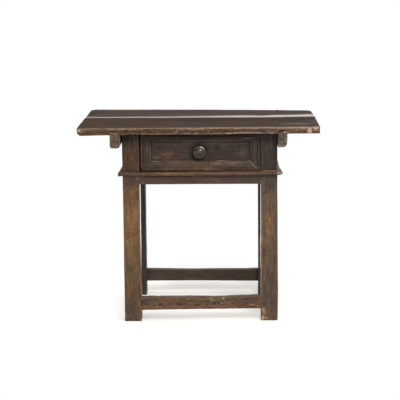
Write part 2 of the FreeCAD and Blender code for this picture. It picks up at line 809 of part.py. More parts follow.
# ---------------------------------------------------------------------------
# Knob, its plate and its nut
# ---------------------------------------------------------------------------

knob_level = front_middle - size.knob_drop
knob_place = (middle, board_face, knob_level)
head_radius = size.knob_diameter / 2
head_foot = size.knob_projection - size.knob_head_thickness
rim_top = head_foot + size.knob_rim_height
dome_rise = size.knob_projection - rim_top
dome_radius = (head_radius * head_radius + dome_rise * dome_rise) / (dome_rise * 2)
neck_radius = size.knob_neck_diameter / 2
shank_radius = size.knob_shank_diameter / 2
nut_face = -size.drawer_front_thickness
shank_end = nut_face - size.nut_thickness - size.knob_shank_overrun
rim_round = size.knob_rim_round
flare = size.knob_flare_radius


def turned_piece(label, outline):
    """A piece turned about the knob's axis, which points out of the drawer front."""
    body, planes = new_body(label)
    section = new_sketch(body, f"{label}_section", planes["XZ_Plane"])
    draw_outline(section, outline)
    turned(body, section)
    place(body, knob_place, FACING_FRONT)
    blanks[label] = body


turned_piece("knob", [
    (ZERO, shank_end),
    (shank_radius, shank_end),
    (shank_radius, size.rose_thickness),
    (neck_radius, size.rose_thickness),
    (neck_radius, head_foot - flare / 2, flare, -1),
    (neck_radius + flare / 2, head_foot),
    (head_radius - rim_round, head_foot, rim_round, 1),
    (head_radius, head_foot + rim_round),
    (head_radius, rim_top, dome_radius, 1),
    (ZERO, size.knob_projection),
])
rose_radius = size.rose_diameter / 2
rose_round = size.rose_round
bore_radius = shank_radius + size.peg_fit
turned_piece("knob_rose", [
    (bore_radius, ZERO),
    (rose_radius, ZERO),
    (rose_radius, size.rose_thickness - rose_round, rose_round, 1),
    (rose_radius - rose_round, size.rose_thickness),
    (bore_radius, size.rose_thickness),
])
blanks["knob_nut"] = block(
    "knob_nut_block", about(middle, size.nut_width), (board_back, board_back + size.nut_thickness),
    about(knob_level, size.nut_width))
for label in ("drawer_front", "knob_nut"):
    cuts[label].append(rod(
        f"{label}_bore", "y", {"x": middle, "z": knob_level},
        (board_face - size.cut_margin, board_back + size.nut_thickness + size.cut_margin),
        bore_radius))

# ---------------------------------------------------------------------------
# Drill every piece for its fasteners, and gather the fasteners in groups
# ---------------------------------------------------------------------------

groups = defaultdict(list)
for number, item in enumerate(fasteners, start=1):
    groups[item.group].append(
        rod(f"{item.group}_{number}", item.axis, item.centre, item.span, item.radius))
    for label in item.through:
        cuts[label].append(rod(
            f"{label}_hole_{number}", item.axis, item.centre, item.span, item.radius + size.peg_fit))

nodes = {}
for label, blank in blanks.items():
    piece = blank
    if cuts[label]:
        piece = doc.addObject("Part::Cut", f"{label}_piece")
        piece.Base = blank
        piece.Tool = fused(f"{label}_cuts", cuts[label]) if len(cuts[label]) > 1 else cuts[label][0]
    nodes[label] = piece
for label, rods in groups.items():
    nodes[label] = doc.addObject("Part::Compound", f"{label}_group")
    nodes[label].Links = rods
for label, piece in nodes.items():
    piece.Label = label
doc.recompute()

# ---------------------------------------------------------------------------
# Check and export
# ---------------------------------------------------------------------------

for thing in doc.Objects:
    if {"Invalid", "Error"} & set(thing.State):
        raise RuntimeError(f"{thing.Name} failed to build")
for label, piece in nodes.items():
    solids = len(groups[label]) if label in groups else 1
    if piece.Shape.isNull() or not piece.Shape.isValid():
        raise RuntimeError(f"{label} has no valid shape")
    if len(piece.Shape.Solids) != solids:
        raise RuntimeError(f"{label} has {len(piece.Shape.Solids)} solids instead of {solids}")

os.makedirs("parts", exist_ok=True)
for label, piece in nodes.items():
    piece.Shape.exportStep(f"parts/{label}.step")
print(f"{len(nodes)} nodes written")
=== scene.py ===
"""Looks of an old tavern table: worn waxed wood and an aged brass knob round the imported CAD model.

Lengths are in metres, in the CAD model's frame: X to the right, the drawer opens towards -Y, Z up.
"""

import math
from itertools import product

import bpy
import numpy as np
from mathutils import Matrix, Vector


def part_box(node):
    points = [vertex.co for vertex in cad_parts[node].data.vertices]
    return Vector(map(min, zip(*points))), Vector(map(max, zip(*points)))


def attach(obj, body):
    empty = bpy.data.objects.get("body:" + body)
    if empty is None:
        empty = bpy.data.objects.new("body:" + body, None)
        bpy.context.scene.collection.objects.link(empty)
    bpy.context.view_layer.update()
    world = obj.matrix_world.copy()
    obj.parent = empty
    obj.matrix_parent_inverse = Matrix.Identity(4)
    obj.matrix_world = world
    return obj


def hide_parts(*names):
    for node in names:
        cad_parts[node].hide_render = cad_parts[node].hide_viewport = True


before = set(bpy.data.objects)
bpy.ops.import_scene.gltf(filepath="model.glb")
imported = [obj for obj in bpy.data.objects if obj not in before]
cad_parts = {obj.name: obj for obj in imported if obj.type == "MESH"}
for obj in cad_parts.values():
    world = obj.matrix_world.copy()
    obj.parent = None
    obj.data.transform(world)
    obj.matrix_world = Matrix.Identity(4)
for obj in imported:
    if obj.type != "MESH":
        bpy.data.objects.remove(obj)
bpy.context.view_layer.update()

MM = 0.001
X, Y, Z = 0, 1, 2
FRONT, UP = (0, -1, 0), (0, 0, 1)
QUARTER = math.pi / 2

# === Small tools ===

LATTICE = 32
SEED_START, SEED_COUNT = 3, 9973


def linear(tone):
    """A colour of the usual 0 to 255 scale as linear light."""
    parts = np.array(tone) / 255
    return np.where(parts > 0.04, ((parts + 0.055) / 1.055) ** 2.4, parts / 12.92)


def colour(*tone):
    """A colour of the usual 0 to 255 scale for a shader socket."""
    return (*linear(tone), 1.0)


def smooth_step(values):
    """Values held between 0 and 1, with a soft start and end."""
    values = np.clip(values, 0, 1)
    return values * values * (3 - 2 * values)


def noise(points, seed):
    """Smooth noise from -1 to 1 at each row of points, with about one swell per unit."""
    table = np.random.RandomState(seed).uniform(-1, 1, (LATTICE,) * 3)
    cell = np.floor(points).astype(int)
    share = smooth_step(points - cell)
    total = np.zeros(len(points))
    for corner in product((0, 1), repeat=3):
        weight = np.prod(np.where(corner, share, 1 - share), axis=1)
        x, y, z = ((cell + corner) % LATTICE).T
        total += weight * table[x, y, z]
    return total


def seed_of(name):
    """A fixed number for a piece's name, so that every piece has its own grain and wear."""
    return sum(ord(letter) * place for place, letter in enumerate(name, SEED_START)) % SEED_COUNT


# === Camera ===

# The camera stands 5.4 m in front of the table's middle, 1.4 m up, and looks down a little.
CAMERA_PLACE = Vector((0.1035, -5.4235, 1.4149))
CAMERA_YAW = -0.0196
CAMERA_PITCH = -0.18026
CAMERA_ROLL = -0.0107
SENSOR = 36.0
FOCAL_PIXELS = 1404
IMAGE_PIXELS = 400


def camera_axes():
    """The camera's right, up and forward: a turn, a tilt, then a roll about its own view."""
    ahead = Vector((math.sin(CAMERA_YAW), math.cos(CAMERA_YAW), 0))
    right = Vector((math.cos(CAMERA_YAW), -math.sin(CAMERA_YAW), 0))
    up = Vector((0, 0, 1))
    forward = ahead * math.cos(CAMERA_PITCH) + up * math.sin(CAMERA_PITCH)
    above = up * math.cos(CAMERA_PITCH) - ahead * math.sin(CAMERA_PITCH)
    across = right * math.cos(CAMERA_ROLL) + above * math.sin(CAMERA_ROLL)
    above = above * math.cos(CAMERA_ROLL) - right * math.sin(CAMERA_ROLL)
    return across, above, forward


def seen(right, down, plane):
    """The place on a flat face that lies behind a point of the camera's picture.

    The point is so many pixels right and down, and the plane is an axis and a place on it.
    """
    across, above, forward = camera_axes()
    middle = IMAGE_PIXELS / 2
    ray = forward + (across * (right - middle) + above * (middle - down)) / FOCAL_PIXELS
    axis, level = plane
    return CAMERA_PLACE + ray * ((level - CAMERA_PLACE[axis]) / ray[axis])


def make_camera():
    across, above, forward = camera_axes()
    lens = bpy.data.cameras.new("camera")
    lens.sensor_width = SENSOR
    lens.lens = FOCAL_PIXELS / IMAGE_PIXELS * SENSOR
    camera = bpy.data.objects.new("camera", lens)
    turn = Matrix((across, above, -forward)).transposed().to_4x4()
    camera.matrix_world = Matrix.Translation(CAMERA_PLACE) @ turn
    bpy.context.scene.collection.objects.link(camera)
    bpy.context.scene.camera = camera


# === Meshes ===

ARC_STEPS = 6
CREASE_ANGLE = math.radians(38)
# An arris's radius comes and goes over this length, and each arris does it on its own.
ARRIS_SWAY_LENGTH = 60 * MM
ARRIS_SPACING = 7.3
LEAST_ARRIS = 0.3 * MM
LEAST_INNER_ARRIS = 0.2 * MM
MOST_ROUND = 0.95
SEED_ROWS = 31
CAP_START = 0.04
MOULDING_STEP = 2.5 * MM
LATHE_STEPS = 96
FAR_FROM_EDGE = 20 * MM


def make_object(name, points, faces):
    """A mesh object with smooth faces, creases kept, and normals that point out."""
    mesh = bpy.data.meshes.new(name)
    mesh.from_pydata([tuple(point) for point in points], [], faces)
    mesh.update()
    mesh.polygons.foreach_set("use_smooth", [True] * len(mesh.polygons))
    mesh.set_sharp_from_angle(angle=CREASE_ANGLE)
    obj = bpy.data.objects.new(name, mesh)
    bpy.context.scene.collection.objects.link(obj)
    return obj


def tube_faces(ring_count, ring_size):
    """Faces of a closed skin over rings of points, with a flat face at each end."""
    faces = [tuple(reversed(range(ring_size)))]
    for ring in range(ring_count - 1):
        start = ring * ring_size
        for step in range(ring_size):
            following = (step + 1) % ring_size
            faces.append((start + step, start + following,
                          start + ring_size + following, start + ring_size + step))
    last = (ring_count - 1) * ring_size
    faces.append(tuple(range(last, last + ring_size)))
    return faces


def spread(count):
    """Shares between 0 and 1, without those two, and closer together near them."""
    shares = np.arange(1, count) / count
    return 0.5 * shares + 0.5 * smooth_step(shares)


def section(half_b, half_c, radii, counts):
    """Points round a rounded rectangle, and how far each lies from the nearest rounded arris.

    The four radii belong to the corners (+b, +c), (-b, +c), (-b, -c) and (+b, -c).
    """
    signs = ((1, 1), (-1, 1), (-1, -1), (1, -1))
    arcs = []
    for corner, ((sign_b, sign_c), radius) in enumerate(zip(signs, radii)):
        angles = QUARTER * (corner + np.linspace(0, 1, ARC_STEPS))
        arcs.append(np.stack([
            sign_b * (half_b - radius) + radius * np.cos(angles),
            sign_c * (half_c - radius) + radius * np.sin(angles)], axis=1))
    points = []
    distances = []
    for corner, arc in enumerate(arcs):
        points.append(arc)
        distances.append(np.zeros(len(arc)))
        start, end = arc[-1], arcs[(corner + 1) % 4][0]
        shares = spread(counts[corner % 2])
        points.append(start + (end - start) * shares[:, None])
        reach = np.linalg.norm(end - start)
        distances.append(np.minimum(shares, 1 - shares) * reach)
    return np.concatenate(points), np.concatenate(distances)


def bar_stations(low, high, end_round, limit, cap_step, step):
    """Places along a bar, each with how far its section is drawn in and its share of the whole."""
    caps = np.linspace(CAP_START, 1, max(3, round(limit / cap_step)))[:-1]
    stations = [(low, end_round, share) for share in caps]
    for angle in np.linspace(0, QUARTER, ARC_STEPS):
        stations.append(
            (low + end_round * (1 - math.cos(angle)), end_round * (1 - math.sin(angle)), 1))
    mirrored = [(high + low - place, inset, share) for place, inset, share in stations]
    length = high - low - 2 * end_round
    shares = np.linspace(0, 1, max(3, round(length / step)))[1:-1]
    stations += [(low + end_round + share * length, 0, 1) for share in shares]
    return stations + mirrored[::-1]


def bar(name, low, high, along, arris, end_round, step, sway):
    """A sawn and worn piece between two corners, with its grain along one axis.

    arris is one radius or four, and sway is how much it comes and goes along the piece. step is
    the mesh's spacing, one for all or one for each axis.
    """
    low, high = np.array(low, float), np.array(high, float)
    a, b, c = along, (along + 1) % 3, (along + 2) % 3
    half_b, half_c = (high[b] - low[b]) / 2, (high[c] - low[c]) / 2
    middle = (low + high) / 2
    radii = np.array(arris if np.iterable(arris) else [arris] * 4, float)
    limit = min(half_b, half_c) * MOST_ROUND
    steps = np.broadcast_to(step, 3)
    counts = [max(4, round(2 * half / steps[axis])) for half, axis in ((half_b, b), (half_c, c))]
    seed = seed_of(name)

    def radii_at(position):
        place = position / ARRIS_SWAY_LENGTH
        places = np.array([[place, corner * ARRIS_SPACING, seed % SEED_ROWS] for corner in range(4)])
        return np.clip(radii * (1 + sway * noise(places, seed)), LEAST_ARRIS, limit)

    rings, edges = [], []
    cap_step = min(steps[b], steps[c])
    for place, inset, share in bar_stations(low[a], high[a], end_round, limit, cap_step, steps[a]):
        kept = np.maximum(radii_at(place) - inset, LEAST_INNER_ARRIS) * share
        outline, distance = section((half_b - inset) * share, (half_c - inset) * share, kept, counts)
        ring = np.zeros((len(outline), 3))
        ring[:, a] = place
        ring[:, b] = middle[b] + outline[:, 0]
        ring[:, c] = middle[c] + outline[:, 1]
        rings.append(ring)
        from_end = min(place - low[a], high[a] - place)
        if share < 1:
            edges.append(np.full(len(outline), (1 - share) * min(half_b, half_c)))
        elif inset:
            edges.append(np.zeros(len(outline)))
        else:
            edges.append(np.minimum(distance, max(from_end - end_round, 0)))
    obj = make_object(name, np.concatenate(rings), tube_faces(len(rings), len(rings[0])))
    set_values(obj, "edge", np.concatenate(edges))
    return obj


def dense_outline(corners, step, closed=True):
    """Points along an outline given in mm, at most a step apart, with its corners kept."""
    corners = np.array(corners, float) * MM
    ends = np.roll(corners, -1, axis=0) if closed else corners[1:]
    points = []
    for start, end in zip(corners, ends):
        count = max(1, math.ceil(np.linalg.norm(end - start) / step))
        points += [start + (end - start) * share for share in np.arange(count) / count]
    return np.array(points if closed else [*points, corners[-1]])


def arc(centre, radius, start, end, steps):
    """Points on an arc between two angles in degrees."""
    return [(centre[0] + radius * math.cos(math.radians(angle)),
             centre[1] + radius * math.sin(math.radians(angle)))
            for angle in np.linspace(start, end, steps)]


def moulding(name, outline, low_end, high_end, low_mitre, high_mitre, arrises):
    """A moulding along X. Each mitre is 1 where that end draws in as Y grows, else 0.

    The arrises are places of the outline, in mm, that wear pale.
    """
    ring_count = max(3, round((high_end - low_end) / MOULDING_STEP))
    rings = []
    for share in np.linspace(0, 1, ring_count):
        ring = np.zeros((len(outline), 3))
        low = low_end + low_mitre * outline[:, 0]
        high = high_end - high_mitre * outline[:, 0]
        ring[:, 0] = low + (high - low) * share
        ring[:, 1:] = outline
        rings.append(ring)
    obj = make_object(name, np.concatenate(rings), tube_faces(ring_count, len(outline)))
    away = np.full(len(outline), FAR_FROM_EDGE)
    for place in arrises:
        away = np.minimum(away, np.linalg.norm(outline - np.array(place) * MM, axis=1))
    set_values(obj, "edge", np.tile(away, ring_count))
    return obj


def lathe(name, outline):
    """A turned piece about Z from (radius, height) points that start and end on the axis."""
    steps = LATHE_STEPS
    points = [(0, 0, outline[0][1]), (0, 0, outline[-1][1])]
    faces = []
    rim = outline[1:-1]
    for radius, height in rim:
        for angle in np.linspace(0, 2 * math.pi, steps, endpoint=False):
            points.append((radius * math.cos(angle), radius * math.sin(angle), height))
    last = 2 + (len(rim) - 1) * steps
    for step in range(steps):
        following = (step + 1) % steps
        faces.append((0, 2 + following, 2 + step))
        faces.append((1, last + step, last + following))
        for ring in range(len(rim) - 1):
            start = 2 + ring * steps
            faces.append((start + step, start + following,
                          start + steps + following, start + steps + step))
    obj = make_object(name, points, faces)
    set_values(obj, "edge", np.full(len(obj.data.vertices), FAR_FROM_EDGE))
    return obj


def set_values(obj, name, values):
    """Store a number or a vector with each point of a mesh."""
    values = np.asarray(values, dtype=np.float32)
    kind, field = ("FLOAT", "value") if values.ndim == 1 else ("FLOAT_VECTOR", "vector")
    obj.data.attributes.new(name, kind, "POINT").data.foreach_set(field, values.ravel())


def get_floats(obj, name):
    """The numbers that are stored with a mesh's points."""
    values = np.zeros(len(obj.data.vertices), dtype=np.float32)
    obj.data.attributes[name].data.foreach_get("value", values)
    return values


def get_rows(collection, field):
    """One row of three numbers for each item."""
    flat = np.zeros(len(collection) * 3, dtype=np.float32)
    collection.foreach_get(field, flat)
    return flat.reshape(-1, 3).astype(float)


def set_points(obj, points):
    obj.data.vertices.foreach_set("co", np.asarray(points, dtype=np.float32).ravel())
    obj.data.update()


def put(obj, matrix):
    """Move a mesh's own points, so that the object itself stays at the origin."""
    obj.data.transform(matrix)
    obj.data.update()


# === Wear ===

# A patch fades out at its rim, over a share of its reach, along a ragged line.
PATCH_RIM = 1.25
PATCH_FADE = 0.9
PATCH_RAGGED_LENGTH = 9 * MM
# How deep a spot reaches into its piece, in mm.
SPOT_DEPTH = 14
SHEEN_WAVE_LENGTH = 60 * MM
SHEEN_WAVES = 0.25
# Swells are longer along the grain than across it, and chips keep near the arrises.
SWELL_ACROSS, SWELL_ALONG = 38 * MM, 150 * MM
WORN_WIDTH = 4 * MM
CHIP_LENGTH = 16 * MM
SOUND_SHARE = 0.15
# How far the heart of the tree lies from the middle of a piece, in mm.
HEART_DEPTH, HEART_RANGE = 45, 30
# Each piece's grain starts elsewhere within this many metres of the same endless wood.
GRAIN_RANGE = 3


class Patch:
    """A soft-edged place on a piece: where it is, how far it reaches, and what it changes.

    tone is the colour there, the wood's own in most patches and painted light or shade in some;
    bare is the share of pale broken wood, polish the share of wax gloss, and dent how deep it goes.
    A square patch keeps its strength into its corners, and a facing patch only takes the surface
    that faces its way.
    """

    on_rest_shape = False

    def __init__(self, centre, reach, tone=None, bare=0, polish=0, dent=0, ragged=0.35,
                 square=False, facing=None, strength=1):
        self.centre = np.array(centre, float)
        self.reach = np.array(reach, float)
        self.tone = None if tone is None else linear(tone)
        self.bare = bare
        self.polish = polish
        self.dent = dent
        self.ragged = ragged
        self.square = square
        self.facing = facing
        self.strength = strength

    def share(self, points, normals, seed):
        """How much of the patch each point takes, from 0 outside to 1 at its middle."""
        offset = np.abs((points - self.centre) / self.reach)
        away = offset.max(axis=1) if self.square else np.linalg.norm(offset, axis=1)
        near = away < PATCH_RIM + self.ragged
        away = away[near] + self.ragged * noise(points[near] / PATCH_RAGGED_LENGTH + seed, seed)
        share = np.zeros(len(points))
        share[near] = smooth_step((PATCH_RIM - away) / PATCH_FADE) * self.strength
        if self.facing is not None:
            share[near] *= smooth_step((normals[near] @ np.array(self.facing, float) - 0.5) * 4)
        return share


def spots(plane, rows, **change):
    """Patches on one flat face, placed by where the camera sees them.

    Each row holds the pixels right and down, the half width and half height in mm, and the tone,
    which is None where the wood keeps its colour.
    """
    axis, _ = plane
    change.setdefault("facing", FRONT if axis == Y else UP)
    patches = []
    for right, down, wide, high, tone in rows:
        reach = (wide, SPOT_DEPTH, high) if axis == Y else (wide, high, SPOT_DEPTH)
        patches.append(Patch(seen(right, down, plane), np.array(reach) * MM, tone=tone, **change))
    return patches


def strewn(count, low, high, small, large, tones, **change):
    """Seeded patches on a front face between two corners, with half sizes from small to large."""
    drawn = np.random.RandomState(count)
    return [
        Patch(drawn.uniform(low, high), drawn.uniform(small, large), tone=tones[number % len(tones)],
              facing=FRONT, **change)
        for number in range(count)]


class Sheen:
    """A polished strip behind the joint of the top, wider and clearer towards one end.

    places lie along X, reaches say how far back the strip goes there, and gloss how clear it is.
    Its pale tone is painted reflection; the gloss of its polish is real.
    """

    bare = 0
    dent = 0
    polish = 1
    on_rest_shape = True

    def __init__(self, front, places, reaches, gloss, soft, tone):
        self.tone = linear(tone)
        self.front = front
        self.places = places
        self.reaches = reaches
        self.gloss = gloss
        self.soft = soft

    def share(self, points, normals, seed):
        """How much of the polish each point takes."""
        reach = np.interp(points[:, X], self.places, self.reaches)
        gloss = np.interp(points[:, X], self.places, self.gloss)
        back = points[:, Y] - self.front
        lying = smooth_step(normals[:, Z] * 3 - 1.6)
        waves = 1 + SHEEN_WAVES * noise(points / SHEEN_WAVE_LENGTH, seed)
        return gloss * lying * smooth_step((reach * waves - back) / (self.soft * reach) + 0.5)


def wear(obj, along, tone, patches=(), swell=0.35 * MM, chips=0.8 * MM, warp=None, heart=None):
    """Age a piece: slow swells, chipped arrises, its patches, and the values its wood needs.

    heart is where the middle of the tree lies across the piece, from the piece's own middle.
    """
    seed = seed_of(obj.name)
    points = get_rows(obj.data.vertices, "co")
    normals = get_rows(obj.data.vertex_normals, "vector")
    edge = get_floats(obj, "edge")
    stretch = np.full(3, 1 / SWELL_ACROSS)
    stretch[along] = 1 / SWELL_ALONG
    out = swell * noise(points * stretch + seed, seed)
    near_edge = smooth_step(1 - edge / WORN_WIDTH)
    broken = noise(points / CHIP_LENGTH + seed, seed + 1) - SOUND_SHARE
    out -= chips * near_edge * np.clip(broken, 0, 1)
    tones = np.tile(linear(tone), (len(points), 1))
    bare = np.zeros(len(points))
    polish = np.zeros(len(points))
    placed = warp(points) if warp else points
    for number, patch in enumerate(patches):
        share = patch.share(points if patch.on_rest_shape else placed, normals, seed + number)
        if patch.tone is not None:
            tones += (patch.tone - tones) * share[:, None]
            bare *= 1 - share
        bare = np.maximum(bare, patch.bare * share)
        polish = np.maximum(polish, patch.polish * share)
        out -= patch.dent * share
    grain = np.roll(points, -along, axis=1)
    drawn = np.random.RandomState(seed).uniform(-1, 1, 3)
    if heart is None:
        heart = ((HEART_DEPTH + HEART_RANGE * drawn[1]) * MM, HEART_DEPTH * MM * drawn[2])
    start = np.array([GRAIN_RANGE * drawn[0], *heart])
    grain += start - np.append(0, grain[:, 1:].mean(axis=0))
    points += normals * out[:, None]
    if warp:
        points = warp(points)
    set_points(obj, points)
    for name, values in (("grain", grain), ("tone", tones), ("bare", bare), ("polish", polish)):
        set_values(obj, name, values)


# === Materials ===


class Tree:
    """The nodes of a material or world, written as calls that give back output sockets."""

    def __init__(self, owner):
        self.owner = owner
        owner.use_nodes = True
        self.nodes = owner.node_tree.nodes
        self.links = owner.node_tree.links

    def feed(self, socket, value):
        """Link a socket to another, or set it to a constant."""
        if isinstance(value, bpy.types.NodeSocket):
            self.links.new(value, socket)
        else:
            socket.default_value = value

    def add(self, kind, inputs=(), **settings):
        """A new node with its inputs fed and its settings made."""
        made = self.nodes.new(f"ShaderNode{kind}")
        for key, value in settings.items():
            setattr(made, key, value)
        for key, value in dict(inputs).items():
            self.feed(made.inputs[key], value)
        return made

    def math(self, operation, *values, clamp=False):
        return self.add("Math", enumerate(values), operation=operation, use_clamp=clamp).outputs[0]

    def mix(self, share, first, second, blend="MIX"):
        inputs = {0: share, 6: first, 7: second}
        return self.add("Mix", inputs, data_type="RGBA", blend_type=blend).outputs[2]

    def ramp(self, value, low, high, low_result=0.0, high_result=1.0):
        inputs = {"Value": value, "From Min": low, "From Max": high,
                  "To Min": low_result, "To Max": high_result}
        return self.add("MapRange", inputs, interpolation_type="SMOOTHSTEP").outputs["Result"]

    def noise(self, vector, stretch, detail=3.0, roughness=0.55):
        scaled = self.add("VectorMath", {0: vector, 1: stretch}, operation="MULTIPLY").outputs[0]
        inputs = {"Vector": scaled, "Scale": 1.0, "Detail": detail, "Roughness": roughness}
        return self.add("TexNoise", inputs).outputs["Fac"]

    def attribute(self, name, output):
        return self.add("Attribute", attribute_name=name).outputs[output]

    def bump(self, height, strength, distance):
        inputs = {"Height": height, "Strength": strength, "Distance": distance}
        return self.add("Bump", inputs).outputs["Normal"]

    def watched(self):
        """1 for a ray that the camera sends straight or by way of metal or glass, else 0."""
        path = self.add("LightPath").outputs
        straight = self.math("MAXIMUM", path["Is Camera Ray"], path["Is Glossy Ray"])
        return self.math("MAXIMUM", straight, path["Is Transmission Ray"])

    def finish(self, inputs):
        """Feed the material's own shader and give the material back."""
        for key, value in inputs.items():
            self.feed(self.nodes["Principled BSDF"].inputs[key], value)
        return self.owner


def new_material(name):
    return Tree(bpy.data.materials.new(name))


def wood(name, contrast=0.34, roughness=0.5, specular=0.25, ring=3.4 * MM, wear_width=2.5 * MM,
         wear_amount=0.35, wear_tone=(128, 104, 82), mottle=0.16, coat_roughness=0.16):
    """Old waxed wood whose figure follows the piece's own grain.

    The grain vector runs along the grain in its X, with the heart of the tree at Y = Z = 0. The
    edge value is the distance to the nearest arris. Tone, bare and polish come from the patches.
    """
    tree = new_material(name)
    grain = tree.attribute("grain", "Vector")
    edge = tree.attribute("edge", "Fac")
    bare = tree.attribute("bare", "Fac")
    tone = tree.attribute("tone", "Vector")
    polish = tree.attribute("polish", "Fac")

    def layer(along, across, detail, rough=0.55):
        """Noise with so many swells a metre along the grain and across it."""
        return tree.noise(grain, (along, across, across), detail, rough)

    # Rings round the heart of the tree, bent by slow noise.
    across = tree.add("VectorMath", {0: grain, 1: (0, 1, 1)}, operation="MULTIPLY").outputs[0]
    radius = tree.add("VectorMath", {0: across}, operation="LENGTH").outputs["Value"]
    bent = tree.math("MULTIPLY_ADD", layer(5, 16, 2), 24 * MM, radius)
    turns = tree.math("MULTIPLY", bent, 2 * math.pi / ring)
    rings = tree.math("MULTIPLY_ADD", tree.math("SINE", turns), 0.5, 0.5)

    # Layers of noise that are longer along the grain, from broad clouds down to pores and grit.
    clouds = layer(7, 24, 3)
    drift = layer(14, 70, 3)
    blots = layer(32, 105, 3, 0.7)
    streaks = layer(14, 130, 4, 0.6)
    flecks = layer(75, 300, 3, 0.65)
    fibres = layer(60, 1100, 2)
    pores = tree.ramp(layer(110, 1500, 1), 0.60, 0.70)
    grit = layer(420, 700, 1)

    # How much the layers lighten and darken the tone.
    figure = tree.math("MULTIPLY", rings, 0.22)
    for value, weight in ((tree.ramp(streaks, 0.28, 0.72), 0.36),
                          (tree.ramp(flecks, 0.28, 0.72), 0.30), (fibres, 0.12)):
        figure = tree.math("MULTIPLY_ADD", value, weight, figure)
    gain = tree.ramp(figure, 0.18, 0.82, 1 - contrast, 1 + contrast)
    for value, low, high, least, most in (
            (clouds, 0.3, 0.7, 0.88, 1.12), (blots, 0.3, 0.7, 1 - mottle, 1 + mottle),
            (grit, 0.66, 0.74, 1, 1.5), (grit, 0.26, 0.34, 0.55, 1)):
        gain = tree.math("MULTIPLY", gain, tree.ramp(value, low, high, least, most))
    base = tree.mix(1.0, tone, gain, "MULTIPLY")
    hue = tree.mix(tree.ramp(drift, 0.35, 0.65), (1.05, 1.0, 0.92, 1), (0.97, 1.0, 1.06, 1))
    base = tree.mix(1.0, base, hue, "MULTIPLY")
    base = tree.mix(tree.math("MULTIPLY", pores, 0.5), base, (0.012, 0.008, 0.006, 1))

    # Arrises rubbed pale along a ragged line, and broken wood.
    ragged = tree.math("SUBTRACT", layer(110, 220, 4, 0.65), 0.46)
    rubbed = tree.math("MULTIPLY_ADD", ragged, 22 * MM, edge)
    rubbed = tree.ramp(rubbed, wear_width, 0.0, 0.0, wear_amount)
    base = tree.mix(rubbed, base, colour(*wear_tone))
    raw = tree.mix(streaks, colour(126, 100, 80), colour(196, 172, 150))
    holes = tree.ramp(layer(150, 260, 2), 0.34, 0.46)
    raw = tree.mix(holes, colour(34, 24, 18), raw)
    base = tree.mix(bare, base, raw)

    # Gloss and relief, which polish calms.
    gloss = tree.ramp(clouds, 0.3, 0.7, roughness - 0.07, roughness + 0.09)
    gloss = tree.math("MULTIPLY_ADD", rubbed, 0.12, gloss)
    height = tree.math("MULTIPLY", streaks, 0.8)
    for value, weight in ((fibres, 0.4), (flecks, 0.6), (rings, 0.2), (pores, -0.5)):
        height = tree.math("MULTIPLY_ADD", value, weight, height)
    calm = tree.math("SUBTRACT", 1.0, tree.math("MULTIPLY", polish, 0.85))
    height = tree.math("MULTIPLY", height, calm)
    return tree.finish({
        "Base Color": base, "Roughness": gloss, "Normal": tree.bump(height, 0.5, 0.5 * MM),
        "Specular IOR Level": specular, "Metallic": 0.0,
        "Coat Weight": polish, "Coat Roughness": coat_roughness})


def brass():
    """Aged brass: a dull brown skin, rubbed to yellow metal where hands reach it."""
    tree = new_material("aged_brass")
    place = tree.attribute("grain", "Vector")
    tone = tree.attribute("tone", "Vector")
    stains = tree.noise(place, (260,) * 3, detail=4.0)
    clouds = tree.noise(place, (70,) * 3, detail=2.0)
    pits = tree.ramp(tree.noise(place, (500,) * 3, detail=1.0), 0.28, 0.38, 0.5, 1.0)
    gain = tree.math("MULTIPLY", tree.ramp(stains, 0.3, 0.7, 0.75, 1.3), pits)
    base = tree.mix(1.0, tone, gain, "MULTIPLY")
    hue = tree.mix(tree.ramp(clouds, 0.35, 0.65), (1.05, 1.0, 0.86, 1), (0.95, 1.02, 1.05, 1))
    base = tree.mix(1.0, base, hue, "MULTIPLY")
    return tree.finish({
        "Base Color": base, "Roughness": tree.ramp(stains, 0.3, 0.7, 0.30, 0.46),
        "Normal": tree.bump(stains, 0.35, 0.3 * MM), "Specular IOR Level": 0.5, "Metallic": 1.0})


def iron():
    """Hand-forged iron, dark and slightly pitted."""
    tree = new_material("wrought_iron")
    place = tree.add("TexCoord").outputs["Object"]
    pits = tree.noise(place, (900,) * 3, detail=3.0)
    return tree.finish({
        "Base Color": tree.mix(tree.ramp(pits, 0.35, 0.7), colour(38, 33, 30), colour(84, 62, 48)),
        "Roughness": tree.ramp(pits, 0.3, 0.7, 0.45, 0.75),
        "Normal": tree.bump(pits, 0.5, 0.3 * MM), "Specular IOR Level": 0.5, "Metallic": 0.6})


woods = {
    "top": wood("top_wood", contrast=0.30, roughness=0.86, specular=0.08, wear_width=2 * MM,
                wear_amount=0.25, wear_tone=(150, 124, 106), mottle=0.2),
    "batten": wood("batten_wood", contrast=0.34, roughness=0.6, specular=0.2),
    "leg": wood("leg_wood", contrast=0.36, roughness=0.46, specular=0.2, wear_amount=0.15,
                coat_roughness=0.1, mottle=0.19),
    "frame": wood("frame_wood", contrast=0.26, roughness=0.5, specular=0.2, wear_amount=0.2),
    "moulding": wood("moulding_wood", contrast=0.28, roughness=0.46, specular=0.2,
                     wear_amount=0.25),
    "drawer": wood("drawer_front_wood", contrast=0.28, roughness=0.45, specular=0.14,
                   wear_amount=0.3, wear_width=1.4 * MM, wear_tone=(96, 82, 74), mottle=0.22),
    "inner": wood("inner_wood", roughness=0.7, specular=0.15),
}
tones = {
    "top": (61, 47, 39),
    "batten": (83, 69, 57),
    "leg": (102, 77, 52),
    "frame": (69, 53, 44),
    "moulding": (87, 64, 48),
    "drawer": (57, 45, 38),
    "inner": (134, 104, 72),
    "brass": (74, 68, 58),
}
brass_material = brass()
iron_material = iron()

# === Pieces ===


def stand_for(obj, node, body, material):
    """Give a piece its material and let it stand for a CAD node."""
    obj.data.materials.append(material)
    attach(obj, body)
    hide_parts(node)


